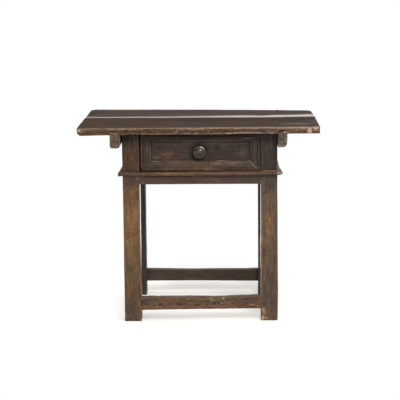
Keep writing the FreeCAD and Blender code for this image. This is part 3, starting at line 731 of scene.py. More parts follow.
def timber(node, along, kind, slot, arris, end_round, body="table", step=5 * MM, sway=0.5,
           span=None, tone=None, **ageing):
    """A worn piece of wood in the place and size of a CAD node."""
    low, high = [list(corner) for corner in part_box(node)]
    if span:
        low[along], high[along] = span
    obj = bar(f"{node}_worn", low, high, along, arris, end_round, step, sway)
    wear(obj, along, tone or tones[kind], **ageing)
    stand_for(obj, node, body, woods[kind])


def rounded(first, second, corner, signs, radius):
    """A warp that rounds one arris of a piece, where its two axes reach the given corner."""

    def warp(points):
        points = points.copy()
        past = [(points[:, axis] - place) * sign + radius
                for axis, place, sign in zip((first, second), corner, signs)]
        reach = np.hypot(*past)
        outside = (past[0] > 0) & (past[1] > 0) & (reach > radius)
        for axis, place, sign, offset in zip((first, second), corner, signs, past):
            moved = offset[outside] * radius / reach[outside]
            points[outside, axis] = place + (moved - radius) * sign
        return points

    return warp


def shifted(axis, by, places, shifts, share=None):
    """A warp that moves points along one axis by amounts that change along another axis.

    share gives the part of the shift that each point takes.
    """

    def warp(points):
        points = points.copy()
        amount = np.interp(points[:, by], places, shifts)
        points[:, axis] += amount * (share(points) if share else 1)
        return points

    return warp


def stretched(axis, *stops):
    """A warp that moves points along one axis, given (place, shift) stops along that axis."""
    places, shifts = zip(*stops)
    return shifted(axis, axis, places, shifts)


def combined(*warps):
    """One warp that applies several in turn."""

    def warp(points):
        for one in warps:
            points = one(points)
        return points

    return warp


# Names in capitals that end in TONES, MARKS, STAINS, DENT and the like hold rows for spots():
# pixels right and down, half width and half height in mm, and the tone.

# --- Top ---

board_low, board_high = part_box("top_front_board")
back_low, back_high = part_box("top_back_board")
TOP_END = board_high[X]
TOP_FRONT = board_low[Y]
TOP_BACK = back_high[Y]
JOINT = back_low[Y]
TOP_LEVEL = board_high[Z]
EDGE_FACE = (Y, TOP_FRONT)
TOP_FACE = (Z, TOP_LEVEL)
JOINT_CLEARANCE = 3 * MM
# The joint between the boards lies back by so much at places along X.
JOINT_PLACES = (-TOP_END, -0.12, -0.05, 0.02, 0.12, 0.2, 0.24, 0.29, 0.35, TOP_END)
JOINT_SHIFTS = np.array((24, 7.5, 5.5, 1.5, -3, -10, -14, -16, -7, -3)) * MM
BACK_LIFT = 2.4 * MM
BACK_LEFT_LIFT, BACK_RIGHT_DIP = 3.5 * MM, 7.5 * MM
# The front board's ends hang over from here outwards, and sag by so many mm at places along X.
OVERHANG = 250 * MM
END_SAG = ((-TOP_END, -0.34, 0.26, 0.3), (4.2, 2.6, 2.6, 1.7))
# Its lip over the drawer sags by so many mm, with a share at places along X.
DRAWER_SAG = 2.2
DRAWER_SAG_SHARE = ((-0.22, -0.17, 0.11, 0.145), (0, 1, 1, 0))
LIP_DEPTH, LIP_SOFTNESS = 40 * MM, 30 * MM


def taper(points):
    """How much of the joint's taper each point of a board takes, from its outer edge inwards."""
    on_back = points[:, Y] > JOINT - JOINT_CLEARANCE
    depth = np.where(on_back, TOP_BACK - points[:, Y], points[:, Y] - TOP_FRONT)
    return np.clip(depth / (TOP_BACK - JOINT), 0, 1)


def outermost(points):
    """The other share: nothing at the joint, and all of a shift at the outer edge."""
    return 1 - taper(points)


tapered = shifted(Y, X, JOINT_PLACES, JOINT_SHIFTS, taper)


def cupped(points):
    """The back board has cupped and twisted: proud at the joint, with its far edge low at right."""
    points = points.copy()
    depth = (points[:, Y] - JOINT) / (TOP_BACK - JOINT)
    side = points[:, X] / TOP_END
    rise = BACK_LIFT * (0.55 + 0.45 * side) * (1 - depth) ** 2
    rise -= np.where(side > 0, BACK_RIGHT_DIP, BACK_LEFT_LIFT) * side * depth
    upper = smooth_step((points[:, Z] - back_low[Z]) / (back_high[Z] - back_low[Z]))
    points[:, Z] += rise * upper
    return points


def drooped(points):
    """The front board is thicker where it hangs over at its ends, and sags over the drawer."""
    points = points.copy()
    over = smooth_step((np.abs(points[:, X]) - OVERHANG) / LIP_SOFTNESS)
    over *= np.interp(points[:, X], *END_SAG)
    lip = smooth_step((TOP_FRONT + LIP_DEPTH - points[:, Y]) / LIP_SOFTNESS)
    sag = np.interp(points[:, X], *DRAWER_SAG_SHARE)
    lower = (TOP_LEVEL - points[:, Z]) / (TOP_LEVEL - board_low[Z])
    points[:, Z] -= lower * (over + sag * lip * DRAWER_SAG) * MM
    return points


def edge_line(low_end, high_end, height, depth, high, tone, ragged=0.35, facing=None):
    """A worn line along the front edge of the top, between two places on X.

    Its depth and half height are in mm. Most lines are wear; the pale grey line on the right of
    the upper arris is painted highlight.
    """
    centre = ((low_end + high_end) / 2, TOP_FRONT, height)
    reach = ((high_end - low_end) / 2, depth * MM, high * MM)
    return Patch(centre, reach, tone=tone, square=True, ragged=ragged, facing=facing)


def edge_flecks(count, low_end, high_end, top, small, large, tones):
    """Flecks strewn over the front edge between two places on X, with their half sizes in mm."""
    sizes = [np.array((wide, FLECK_DEPTH, high)) * MM for wide, high in (small, large)]
    low, high = (low_end, TOP_FRONT, EDGE_BOTTOM), (high_end, TOP_FRONT, top)
    return strewn(count, low, high, *sizes, tones, ragged=0.6)


FLECK_DEPTH = 9
EDGE_BOTTOM = 731 * MM
LOWER_ARRIS = board_low[Z] + 1.5 * MM
# Rows for edge_line(): both ends on X, height, depth and half height in mm, tone and raggedness.
EDGE_LINES = (
    (-TOP_END, TOP_END, TOP_LEVEL - 1 * MM, 15, 4, (118, 98, 83), 0.5),
    # Painted highlight: the pale grey upper arris on the right, where it catches the light.
    (0.16, TOP_END, TOP_LEVEL - 0.8 * MM, 13, 3.8, (136, 118, 106), 0.4),
    (-TOP_END, -0.34, TOP_LEVEL, 30, 3.2, (98, 82, 70), 0.4),
    (-0.26, -0.05, LOWER_ARRIS, 9, 3.2, (96, 79, 67), 0.5),
    (-0.06, 0.25, LOWER_ARRIS, 9, 3.2, (118, 99, 86), 0.5),
    (0.1, 0.26, LOWER_ARRIS, 9, 3.2, (142, 122, 108), 0.5))
FLECKS = ((150, 128, 100), (40, 28, 18), (104, 76, 46), (58, 40, 26), (126, 104, 80))
DULL_FLECKS = ((104, 86, 72), (50, 36, 27), (92, 68, 46), (62, 46, 36))
FRONT_BOARD_TONES = (
    (92, 122, 70, 150, (64, 47, 33)), (140, 122, 110, 150, (59, 43, 33)),
    (210, 120, 250, 66, (50, 37, 30)), (290, 119.8, 110, 52, (50, 38, 33)),
    (172, 123.5, 40, 50, (66, 52, 43)), (230, 121.2, 26, 26, (62, 49, 43)),
    (297, 123.8, 62, 34, (98, 86, 78)), (307, 121, 34, 26, (66, 57, 58)),
    (80, 122, 19, 150, (46, 41, 40)), (316, 122, 14, 150, (70, 62, 60)))
EDGE_TONES = (
    (87, 131.3, 14, 5, (70, 48, 31)), (95, 133.2, 22, 4, (82, 66, 55)),
    (102, 130.8, 16, 5, (78, 62, 51)), (112, 130.8, 26, 5, (70, 50, 34)),
    (127, 131.5, 14, 7, (55, 41, 31)), (139, 131, 34, 6, (61, 43, 31)),
    (150, 131.5, 14, 7, (60, 46, 38)), (158, 130.6, 16, 5, (76, 48, 32)),
    (167, 131, 14, 5, (70, 49, 33)), (172, 132.5, 14, 3.5, (88, 68, 54)),
    (185, 130.8, 16, 5, (78, 58, 43)), (205, 130.6, 12, 4, (66, 48, 34)),
    (216, 131, 34, 5, (78, 56, 41)), (236, 130.8, 20, 5, (76, 55, 42)),
    (246, 130.6, 24, 6, (76, 62, 54)), (256, 132, 22, 6, (84, 68, 58)),
    (262, 132.5, 8, 4, (64, 56, 50)), (270, 131, 20, 6, (80, 68, 61)),
    (281, 131.8, 7, 5, (62, 44, 38)), (285.5, 130.6, 4, 4, (50, 38, 32)),
    (294, 131, 18, 6, (80, 65, 56)), (302, 130.4, 13, 4.5, (88, 64, 44)))
EDGE_MIDDLE_DENT = ((188, 129.2, 46, 4, None),)
EDGE_END_DENTS = ((113, 129, 30, 3, None), (300, 129, 50, 4, None))
EDGE_SCARS_AND_HIGHLIGHTS = (
    (190, 128.4, 12, 2.6, (150, 128, 110)), (198.5, 128.6, 9, 3.2, (128, 106, 88)),
    (206, 128.6, 10, 3, (112, 92, 74)), (230.5, 133.2, 7, 2.4, (132, 114, 104)),
    (110.5, 133.4, 9, 3, (106, 88, 76)), (250.5, 128, 18, 2.8, (84, 72, 64)),
    (315.2, 129.8, 9, 5.5, (150, 124, 103)), (318.4, 131.5, 5, 8, (98, 82, 72)),
    (317, 127.9, 9, 4.4, (188, 162, 140)), (314.6, 128.2, 5, 3, (172, 150, 134)),
    # Painted highlight: the pale rounded left corner of the edge.
    (78.8, 130.4, 6, 8, (164, 140, 120)), (81.5, 129, 12, 2.6, (150, 124, 102)),
    (80.5, 132.4, 14, 3.4, (96, 80, 68)))
EDGE_PALE_BLOCK = ((309.8, 131.2, 8, 11, (182, 153, 127)),)
EDGE_CRACKS = (
    (130, 129.4, 14, 2.4, (60, 44, 33)), (146, 129.4, 18, 2.6, (56, 41, 31)),
    (175, 130.6, 8, 4, (64, 46, 34)), (186, 129.8, 18, 3.4, (58, 43, 32)),
    (164, 128.2, 9, 2.6, (138, 116, 96)), (177, 128.2, 9, 2.6, (130, 110, 90)),
    (194, 128.2, 8, 2.6, (158, 136, 114)), (194.6, 131, 5, 3, (108, 82, 60)),
    (226, 131.3, 13, 5, (52, 39, 30)), (209, 132.2, 10, 2.8, (104, 82, 62)),
    (285, 130.2, 9, 2.6, (46, 28, 22)), (285.3, 132.2, 5, 2.8, (156, 136, 120)),
    (279.3, 131.9, 3.6, 7, (8, 3, 2)), (282.2, 131, 4.4, 3.6, (4, 1, 1)),
    (280.8, 130.4, 5, 2.4, (50, 26, 20)), (115.6, 134, 6, 2.8, (180, 164, 144)),
    (112, 133.9, 4, 2.4, (150, 134, 118)), (118, 134.4, 3.5, 2.6, (118, 108, 96)),
    (265, 132.2, 11, 4, (62, 50, 43)), (310, 133.4, 8, 3, (140, 118, 98)))
timber(
    "top_front_board", X, "top", "top_wood", (1.2 * MM, 5 * MM, 3 * MM, 1 * MM), 3 * MM,
    step=(2.4 * MM, 6 * MM, 1.6 * MM), swell=0.45 * MM, chips=1.1 * MM, sway=0.8,
    warp=combined(
        tapered,
        rounded(X, Y, (-TOP_END, TOP_FRONT), (-1, -1), 13 * MM),
        rounded(X, Y, (TOP_END, TOP_FRONT), (1, -1), 9 * MM),
        rounded(X, Z, (-TOP_END, board_low[Z]), (-1, -1), 20 * MM),
        stretched(X, (-TOP_END, -2 * MM), (-0.3, 0), (0.3, 0), (TOP_END, -1.6 * MM)),
        drooped),
    patches=[
        *spots(TOP_FACE, FRONT_BOARD_TONES, ragged=0.3),
        edge_line(-1, 1, 738 * MM, 8, 16, (74, 56, 43), ragged=0, facing=FRONT),
        edge_line(0.19, 0.44, LOWER_ARRIS, 9, 14, (80, 67, 59), facing=FRONT),
        *spots(EDGE_FACE, EDGE_TONES, ragged=0.5),
        *[edge_line(*row) for row in EDGE_LINES],
        *spots(EDGE_FACE, EDGE_MIDDLE_DENT, bare=0.2, dent=0.8 * MM, ragged=1.2),
        *spots(EDGE_FACE, EDGE_END_DENTS, bare=0.25, dent=0.6 * MM, ragged=1.2),
        *spots(EDGE_FACE, EDGE_SCARS_AND_HIGHLIGHTS, ragged=0.25),
        *spots(EDGE_FACE, EDGE_PALE_BLOCK, ragged=0.2, square=True),
        *edge_flecks(46, -0.098, 0.155, 748.5 * MM, (1.2, 1), (4.5, 2.4), FLECKS),
        *edge_flecks(26, -0.43, -0.11, 748 * MM, (1.5, 1), (6, 2.6), DULL_FLECKS),
        *edge_flecks(24, 0.16, 0.43, 748 * MM, (1.5, 1), (6, 2.6), DULL_FLECKS),
        *spots(EDGE_FACE, EDGE_CRACKS, ragged=0.25, facing=(0, -0.9, -0.4)),
    ])
BACK_BOARD_TONES = (
    (200, 112.8, 420, 26, (64, 53, 49)), (180, 115, 200, 16, (80, 68, 62)),
    (121, 110.7, 110, 26, (86, 75, 66)), (93, 114, 22, 90, (56, 51, 51)),
    (305, 111.5, 36, 40, (56, 50, 52)))
# The polished strip, from one end to the other: how far back it goes and how clear it is.
# Its pale tone (142, 102, 84) is painted reflection; its polish is real gloss.
SHEEN_PLACES = (-TOP_END, -0.3, -0.2, 0, 0.12, 0.25, 0.35, TOP_END)
SHEEN_REACHES = np.array((30, 30, 36, 50, 60, 76, 77, 100)) * MM
SHEEN_GLOSS = (0.54, 0.62, 0.64, 0.69, 0.79, 0.84, 0.87, 0.86)
timber(
    "top_back_board", X, "top", "top_wood", (6 * MM, 0.8 * MM, 1 * MM, 3 * MM), 4 * MM,
    step=4.5 * MM, swell=0.4 * MM, chips=0.6 * MM, tone=(71, 59, 53),
    warp=combined(tapered, rounded(X, Y, (-TOP_END, TOP_BACK), (-1, 1), 50 * MM),
                  shifted(Y, X, (-0.24, -0.16), (0, -4 * MM), outermost),
                  rounded(X, Y, (TOP_END, TOP_BACK), (1, 1), 54 * MM),
                  stretched(X, (-TOP_END, 0), (0.3, 0), (TOP_END, -1.6 * MM)), cupped),
    patches=[
        *spots(TOP_FACE, BACK_BOARD_TONES, ragged=0.3),
        Sheen(JOINT, SHEEN_PLACES, SHEEN_REACHES, SHEEN_GLOSS, soft=0.7, tone=(142, 102, 84)),
    ])

BATTEN_TONES = {
    "left": (
        (113.6, 141.6, 8, 9, (92, 76, 62)), (113.7, 141.5, 4, 4.5, (50, 30, 14)),
        (116.2, 134.6, 5, 4, (170, 152, 134)), (117.7, 136.8, 4, 3, (98, 92, 82)),
        (113.8, 135.6, 4, 3, (52, 42, 30)), (116.2, 146, 4, 3, (100, 92, 80)),
        (111, 145.6, 4, 4, (56, 55, 54)), (113.4, 144.8, 4, 3, (104, 82, 60)),
        # Painted shade: the right edge of the left batten's end, beside the shadowed gap.
        (119.8, 139.5, 9, 30, (25, 19, 15))),
    "right": (
        (284, 138, 20, 30, (73, 64, 59)), (279.4, 137, 9, 14, (64, 56, 52)),
        (285.7, 139, 4.5, 12, (112, 100, 90)), (281.7, 141.8, 6, 8, (98, 88, 78)),
        (281, 145.8, 18, 4, (116, 103, 90)), (285.4, 132.7, 3, 3, (176, 158, 144))),
}


def batten(side, sides_out, drop, lean, heart, roundings):
    """A batten under the top, with its lower arrises worn round.

    Its left and right side move along X by sides_out, it hangs lower by drop, and its lower edge
    stands off by lean.
    """
    node = f"top_batten_{side}"
    low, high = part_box(node)
    timber(
        node, Y, "batten", "batten_wood", 2.5 * MM, 3 * MM, heart=heart,
        step=(1.6 * MM, 4 * MM, 1.6 * MM),
        patches=[
            *spots((Y, low[Y]), BATTEN_TONES[side], ragged=0.5),
            # Painted light: the side that faces +X is paler than its wood; on the left batten this
            # lifts the shade in the gap beside the leg.
            Patch((high[X], low[Y], 0.7), (6 * MM, 0.12, 0.04), tone=(132, 112, 94), ragged=0.2,
                  facing=(1, 0, 0))],
        warp=combined(
            rounded(X, Z, (low[X], low[Z]), (-1, -1), roundings[0]),
            rounded(X, Z, (high[X], low[Z]), (1, -1), roundings[1]),
            stretched(X, (low[X], sides_out[0]), (high[X], sides_out[1])),
            shifted(X, Z, (low[Z], low[Z] + 30 * MM), (lean, 0)),
            stretched(Z, (low[Z], -drop), (high[Z], 0))))


batten("left", (-3.8 * MM, 1.8 * MM), 2.7 * MM, 0, heart=(0, 3 * MM), roundings=(9 * MM, 8 * MM))
batten("right", (0, 2.6 * MM), 3.6 * MM, -2.6 * MM, heart=(0, 60 * MM),
       roundings=(4 * MM, 15 * MM))

# --- Frame ---

leg_low, leg_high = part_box("leg_front_right")
BASE_X = leg_high[X]
INNER_X = leg_low[X]
BASE_Y = -leg_low[Y]
INNER_Y = -leg_high[Y]
FACE = (Y, -BASE_Y)
# Near the middle of the front legs, along Y.
LEG_MIDDLE = -0.2


def gloss_and_painted_reflection(side, height, half_height):
    """The waxed inner face of a leg, which mirrors the light room at a low angle.

    Its pale tone is painted reflection as well.
    """
    return Patch(
        (INNER_X * side, LEG_MIDDLE, height), (14 * MM, 80 * MM, half_height), polish=1, ragged=0.1,
        tone=(140, 112, 90), facing=(-side, 0, 0))


def shade(middle, half_width, height, half_height, tone, ragged=0.35):
    """The dark upper part of a leg, in the shadow of the top."""
    reach = (half_width, 0.06, half_height)
    return Patch((middle, LEG_MIDDLE, height), reach, tone=tone, square=True, ragged=ragged)


def arris_highlight(inset, half_width, height, half_height, tone):
    """A pale strip of painted highlight down the right leg's inner arris.

    Its inset and half width are in mm.
    """
    centre = (INNER_X + inset * MM, -BASE_Y, height)
    reach = (half_width * MM, SPOT_DEPTH * MM, half_height)
    return Patch(centre, reach, tone=tone, ragged=0.3, facing=FRONT)


STREAKS = ((66, 54, 30), (84, 52, 28), (44, 32, 27), (62, 36, 26), (58, 50, 46), (38, 29, 24))
LEFT_LEG_TONES = (
    (126, 158, 6, 60, (66, 40, 26)), (133, 157, 5, 50, (64, 44, 28)),
    (136, 150, 5, 40, (60, 42, 32)), (123, 150, 4, 50, (46, 36, 30)),
    (131, 183, 40, 24, (68, 54, 46)), (134, 200, 30, 20, (96, 70, 46)),
    (131, 221, 40, 60, (111, 82, 52)), (131, 275, 40, 60, (88, 69, 48)),
    (131, 241, 40, 24, (114, 86, 57)), (127, 287, 14, 24, (98, 66, 44)),
    (131, 308, 40, 60, (77, 62, 51)), (131, 322, 40, 14, (62, 54, 49)))
LEFT_LEG_MARKS = (
    (138, 178.2, 5, 4, (104, 98, 92)), (139.8, 179.6, 5, 4, (104, 98, 92)),
    (141.8, 181.6, 5, 4, (100, 94, 88)), (137.7, 192, 3.4, 40, (56, 45, 35)),
    (139.4, 291, 4, 44, (68, 56, 46)))
RIGHT_LEG_TONES = (
    (261.6, 156, 4, 28, (33, 28, 26)), (260.8, 185, 4, 16, (56, 47, 42)),
    (275.4, 153, 4, 18, (52, 46, 44)), (268, 183, 40, 38, (71, 60, 52)),
    (265, 192, 8, 8, (62, 50, 40)), (268, 223, 30, 54, (105, 79, 56)),
    (265, 243, 30, 26, (103, 80, 62)), (268, 280, 40, 60, (80, 64, 53)),
    (268, 300, 40, 30, (76, 62, 53)), (269.5, 221, 4, 16, (132, 104, 82)))
RIGHT_FOOT_TONES = (
    (263.6, 310.8, 9, 13, (156, 126, 105)), (263.2, 307, 4.5, 4, (108, 86, 74)),
    (262.8, 317, 8, 12, (152, 124, 94)), (265.4, 315, 7, 5, (92, 62, 34)),
    (264.6, 311.4, 5, 5, (146, 116, 96)), (264.4, 317.2, 5, 5, (136, 110, 84)),
    (266.8, 318, 9, 5.5, (142, 108, 70)), (270.2, 318, 6, 5, (96, 86, 70)),
    (260.9, 312, 3.6, 26, (36, 24, 18)))
RIGHT_FOOT_DENT = ((263.6, 313, 8, 18, None),)
leg_patches = {
    "leg_front_left": [
        shade(-0.26, 0.06, 0.665, 0.13, (56, 40, 27), ragged=0.1),
        shade(-0.26, 0.06, 0.72, 0.03, (36, 25, 20)),
        *spots(FACE, LEFT_LEG_TONES, ragged=0.3),
        *strewn(26, (-0.288, -BASE_Y, 0.60), (-0.228, -BASE_Y, 0.705), (0.0014, 0.01, 0.008),
                (0.0034, 0.01, 0.034), STREAKS, ragged=0.4),
        *spots(FACE, LEFT_LEG_MARKS, ragged=0.5),
        gloss_and_painted_reflection(-1, 0.42, 0.21),
    ],
    "leg_front_right": [
        shade(0.26, 0.06, 0.665, 0.14, (38, 32, 31), ragged=0.05),
        shade(0.30, 0.025, 0.665, 0.12, (33, 29, 30)),
        *spots(FACE, RIGHT_LEG_TONES, ragged=0.3),
        # Painted highlight down the inner arris, where it catches the light.
        arris_highlight(4, 4.2, 0.32, 0.24, (118, 95, 78)),
        arris_highlight(1.4, 3.2, 0.18, 0.14, (138, 113, 95)),
        *spots(FACE, RIGHT_FOOT_TONES, ragged=0.5),
        *spots(FACE, RIGHT_FOOT_DENT, dent=1.5 * MM, ragged=0.6),
        gloss_and_painted_reflection(1, 0.35, 0.27),
    ],
}
leg_tones = {
    "leg_front_left": (99, 73, 48),
    "leg_front_right": (87, 68, 53),
    "leg_back_left": (60, 51, 46),
    "leg_back_right": (56, 48, 43),
}


def leaning(still, moved, heights, shifts):
    """A warp of a leg that keeps one side still and moves the other along X.

    The moved side goes by so many mm at each height.
    """

    def share(points):
        return np.clip((points[:, X] - still) / (moved - still), 0, 1)

    return shifted(X, Z, heights, np.array(shifts) * MM, share)


# Every leg stands a little out of line. A front leg's two sides come first, then its worn foot.
leg_warps = {
    "leg_front_left": combined(
        leaning(-INNER_X, -BASE_X, (0, 0.1, 0.24, 0.3, 0.45, 0.6), (1.5, 1.7, 1.7, 2.4, 2.9, 2.5)),
        leaning(-BASE_X, -INNER_X, (0, 0.38, 0.43, 0.56, 0.59, 0.72), (1.5, 1.5, 2.4, 2.4, 3, 3.4)),
        rounded(X, Z, (-BASE_X + 1 * MM, 0), (-1, -1), 6 * MM),
        rounded(X, Z, (-INNER_X + 1.5 * MM, 0), (1, -1), 5 * MM)),
    "leg_front_right": combined(
        stretched(X, (INNER_X, 3 * MM), (BASE_X, 0)),
        leaning(INNER_X, BASE_X, (0, 0.12, 0.3, 0.42, 0.5), (4, 3.6, 2.3, 2.3, 1.6)),
        shifted(X, Z, (0.04, 0.09), (-1 * MM, 0)),
        leaning(BASE_X, INNER_X, (0.05, 0.1, 0.29, 0.33), (0, -1.6, -1.6, 0)),
        rounded(X, Z, (BASE_X + 3 * MM, 0), (1, -1), 9 * MM)),
    "leg_back_left": shifted(X, Z, (0, 0.7), (-1.2 * MM, -0.6 * MM)),
    "leg_back_right": combined(
        stretched(X, (INNER_X, 2 * MM), (BASE_X, 1 * MM)),
        shifted(X, Z, (0, 0.06), (-1.4 * MM, 0))),
}
for depth, width in product(("front", "back"), ("left", "right")):
    node = f"leg_{depth}_{width}"
    timber(
        node, Z, "leg", "frame_wood", 2.5 * MM, 2.5 * MM, swell=0.4 * MM, tone=leg_tones[node],
        patches=leg_patches.get(node, ()), warp=leg_warps[node],
        step=(2 * MM, 5 * MM, 2.5 * MM) if depth == "front" else 5 * MM)


# How far a crosspiece goes into the leg at its low and its high end.
LOW_TUCK, HIGH_TUCK = 1 * MM, 3 * MM


def crosspiece(node, along, kind="frame", arris=2 * MM, lower=(0, 0), raise_top=(0, 0), **options):
    """A rail or stretcher, drawn without its tenons, which the legs hide.

    lower is how far its lower edge hangs below the CAD model's, and raise_top how far its upper
    edge stands above it, in millimetres at even steps from the first end to the other.
    """
    low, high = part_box(node)
    shoulder = INNER_X if along == X else INNER_Y

    def warp(points):
        points = points.copy()
        place = points[:, along] / shoulder
        drop = np.interp(place, np.linspace(-1, 1, len(lower)), lower) * MM
        lift = np.interp(place, np.linspace(-1, 1, len(raise_top)), raise_top) * MM
        share = (high[Z] - points[:, Z]) / (high[Z] - low[Z])
        points[:, Z] += lift * (1 - share) - drop * share
        return points

    timber(node, along, kind, "frame_wood", arris, 0.5 * MM, warp=warp,
           span=(-shoulder - LOW_TUCK, shoulder + HIGH_TUCK), **options)


FRONT_RAIL_TONES = (
    (155, 180, 40, 10, (67, 50, 41)), (212, 180, 50, 9, (76, 55, 45)),
    # The row at 176.8 is painted shadow under the moulding's nose, along the top of the rail.
    (165, 176.8, 110, 3.4, (46, 34, 27)), (243, 180, 60, 12, (63, 55, 48)),
    (143.4, 183.4, 4, 3, (98, 92, 86)))
crosspiece(
    "front_rail", X, lower=(2.6, 3.6), raise_top=(-2.5, -2.5),
    patches=spots(FACE, FRONT_RAIL_TONES, ragged=0.3))
crosspiece("back_rail", X)
crosspiece("side_rail_left", Y)
crosspiece("side_rail_right", Y)
STRETCHER_TONES = (
    (150, 301, 30, 18, (76, 63, 53)), (146, 303, 14, 16, (62, 52, 46)),
    (141.6, 303, 6, 16, (42, 33, 27)), (175, 299, 60, 9, (94, 70, 48)),
    (203, 298.5, 16, 6, (104, 78, 50)), (232, 299.5, 24, 11, (80, 65, 54)),
    (248, 299.5, 26, 12, (72, 58, 49)), (200, 306.4, 300, 4.5, (104, 72, 59)),
    (252, 306.2, 14, 4, (102, 66, 52)), (214, 306, 54, 3.4, (114, 81, 68)),
    (160, 297.4, 50, 3.4, (62, 49, 38)), (172, 301.6, 40, 3.4, (98, 76, 56)),
    (190, 296, 124, 3, (66, 54, 43)), (197, 297.2, 14, 3, (112, 94, 74)),
    (160.3, 304.2, 8, 3.5, (24, 16, 11)), (168.5, 304.1, 5, 3, (32, 22, 16)),
    (179.3, 304.1, 13, 3.5, (24, 16, 11)), (185.2, 304, 4, 3, (34, 24, 18)),
    (196, 304.8, 16, 2.6, (66, 42, 30)), (187.6, 299.4, 9, 5, (122, 98, 72)),
    (210, 296.4, 20, 2.8, (40, 30, 22)), (251.5, 304.5, 13, 2.2, (152, 114, 100)),
    (257.6, 305.4, 2.6, 2.6, (160, 146, 134)))
STRETCHER_GOUGE = ((216.5, 300.3, 26, 10, (84, 69, 53)),)
STRETCHER_SPLINTERS = (
    (211, 298.6, 8, 4.2, (156, 132, 106)), (208.4, 300.4, 4.5, 4, (44, 33, 23)),
    (218, 298.4, 4, 4, (120, 104, 84)), (223.2, 298.6, 6, 4.6, (158, 136, 114)),
    (206.4, 297.2, 6, 3.6, (154, 130, 104)), (213.5, 300.3, 5, 2.6, (114, 96, 76)),
    (214.8, 302.5, 8, 4, (32, 22, 15)), (218.6, 302.2, 5, 5, (26, 18, 12)),
    (222.4, 301.2, 5, 3.4, (50, 38, 30)), (221.8, 303.3, 4, 2.6, (120, 116, 110)),
    (206.6, 304.4, 7, 2.6, (54, 24, 12)), (233.5, 303.4, 9, 2.6, (50, 32, 22)),
    (243.5, 302.6, 14, 2.6, (52, 38, 31)), (226.6, 302.6, 8, 3, (98, 66, 54)))
crosspiece(
    "stretcher_front", X, kind="leg", arris=(2 * MM, 5 * MM, 2 * MM, 2 * MM), sway=0.9,
    lower=(5.2, 3.4, 2.8, 2.6, 0.9, 1.8), swell=0.7 * MM,
    raise_top=(0, 0.4, 0, -0.4, 0.3, -0.8, -1.4, -1.2, 1.4, 3.1, 3.8),
    chips=1.2 * MM, step=(2 * MM, 6 * MM, 1.6 * MM), tone=(90, 67, 50),
    patches=[
        *spots(FACE, STRETCHER_TONES, ragged=0.4),
        *spots(FACE, STRETCHER_GOUGE, bare=0.08, dent=2 * MM, ragged=1.0),
        *spots(FACE, STRETCHER_SPLINTERS, ragged=0.4),
    ])
BACK_STRETCHER_TONES = (
    (244, 274, 84, 20, (51, 43, 40)), (155, 275, 30, 14, (62, 56, 52)),
    (177, 275.6, 60, 13, (96, 77, 65)), (146, 274, 14, 20, (78, 69, 64)),
    (196, 269.6, 50, 4, (64, 50, 41)), (234, 269.2, 90, 5, (28, 22, 19)),
    (249, 275, 10, 12, (64, 58, 55)))
crosspiece(
    "stretcher_back", X, arris=2.5 * MM, tone=(72, 58, 50),
    lower=(1.2, 1, 1.2, 2.2, 3.2, 4.4),
    raise_top=(3, 2.1, 1.2, 0.1, -0.9, -0.7, -0.5, -0.8, -0.9, -1.1, 1.4),
    patches=spots((Y, INNER_Y), BACK_STRETCHER_TONES, ragged=0.3))
crosspiece("stretcher_left", Y, kind="leg", tone=(84, 68, 56))
crosspiece("stretcher_right", Y, kind="leg", tone=(84, 68, 56))

# --- Moulding round the frame ---

NOSE = 18 * MM
frame_section = dense_outline(
    [(18, 3.9), (18, 22), (9, 22), (8, 21.2), (8, 19.6), (10.5, 18.8), (10.5, 17.4), (7, 17.1)]
    + arc((5, 12.1), 5, 90, 180, 8) + arc((5.6, 9.5), 5.6, 180, 270, 8) + [(8.5, 3.9)], 2 * MM)
frame_arrises = ((8, 21.2), (8, 19.6), (1.4, 15.6))


def frame_moulding(side, low_end, high_end, mitres, matrix, along, patches, warp):
    """One run of the moulding round the frame, made along X and put in place by a matrix."""
    node = f"moulding_{side}"
    obj = moulding(f"{node}_worn", frame_section, low_end, high_end, *mitres, arrises=frame_arrises)
    put(obj, matrix)
    wear(obj, along, tones["moulding"], swell=0.4 * MM, chips=0, patches=patches, warp=warp)
    stand_for(obj, node, "table", woods["moulding"])


SINK = 1.9 * MM
MOULDING_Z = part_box("moulding_front")[0][Z] - SINK
NOSE_FACE = (Y, -BASE_Y - NOSE)
FILLET = MOULDING_Z + 20 * MM
NOSE_LOW, NOSE_HIGH, SECTION_TOP = 3.9 * MM, 17.1 * MM, 22 * MM
TIP_REACH, TIP_RISE, SIDE_INSET = 5 * MM, 2.5 * MM, 11 * MM
# The left run lies nearer the leg by so much at its front end, middle and back end.
LEFT_RUN_STOPS = ((-BASE_Y, 0, BASE_Y), (5 * MM, 8 * MM, 10 * MM))


def tip(points):
    """The right side's moulding draws in below, and its front corner runs out to a worn point."""
    points = points.copy()
    side = np.clip((points[:, X] - BASE_X) / NOSE, 0, 1)
    corner = side * np.clip((-BASE_Y - points[:, Y]) / NOSE, 0, 1)
    levels = np.array((2, 4, 11, 15)) * MM
    lower = np.interp(points[:, Z] - MOULDING_Z, levels, (1, 0.7, 0.2, 0))
    points[:, X] += TIP_REACH * corner * (1 - lower) - SIDE_INSET * side * lower
    points[:, Z] += TIP_RISE * corner * lower
    return points


def swollen(points):
    """The front run's nose stands taller towards the left, and its lower edge is worn away."""
    points = points.copy()
    ends = (-BASE_X, 0, BASE_X)
    height = points[:, Z] - MOULDING_Z
    upper = np.interp(height, (NOSE_LOW, NOSE_HIGH, SECTION_TOP), (0, 1, 0.15))
    lower = np.interp(height, (NOSE_LOW, NOSE_HIGH), (1, 0))
    points[:, Z] += upper * np.interp(points[:, X], ends, (3.5 * MM, 3.2 * MM, 0))
    points[:, Z] += lower * np.interp(points[:, X], ends, (1.4 * MM, 0.8 * MM, 1.4 * MM))
    return points


def fillet_line(middle, half_length, half_height, tone, ragged, height=FILLET):
    """A line of another tone along the fillet on top of the front run, its half height in mm."""
    reach = (half_length, 20 * MM, half_height * MM)
    return Patch((middle, -BASE_Y, height), reach, tone=tone, ragged=ragged, square=True)


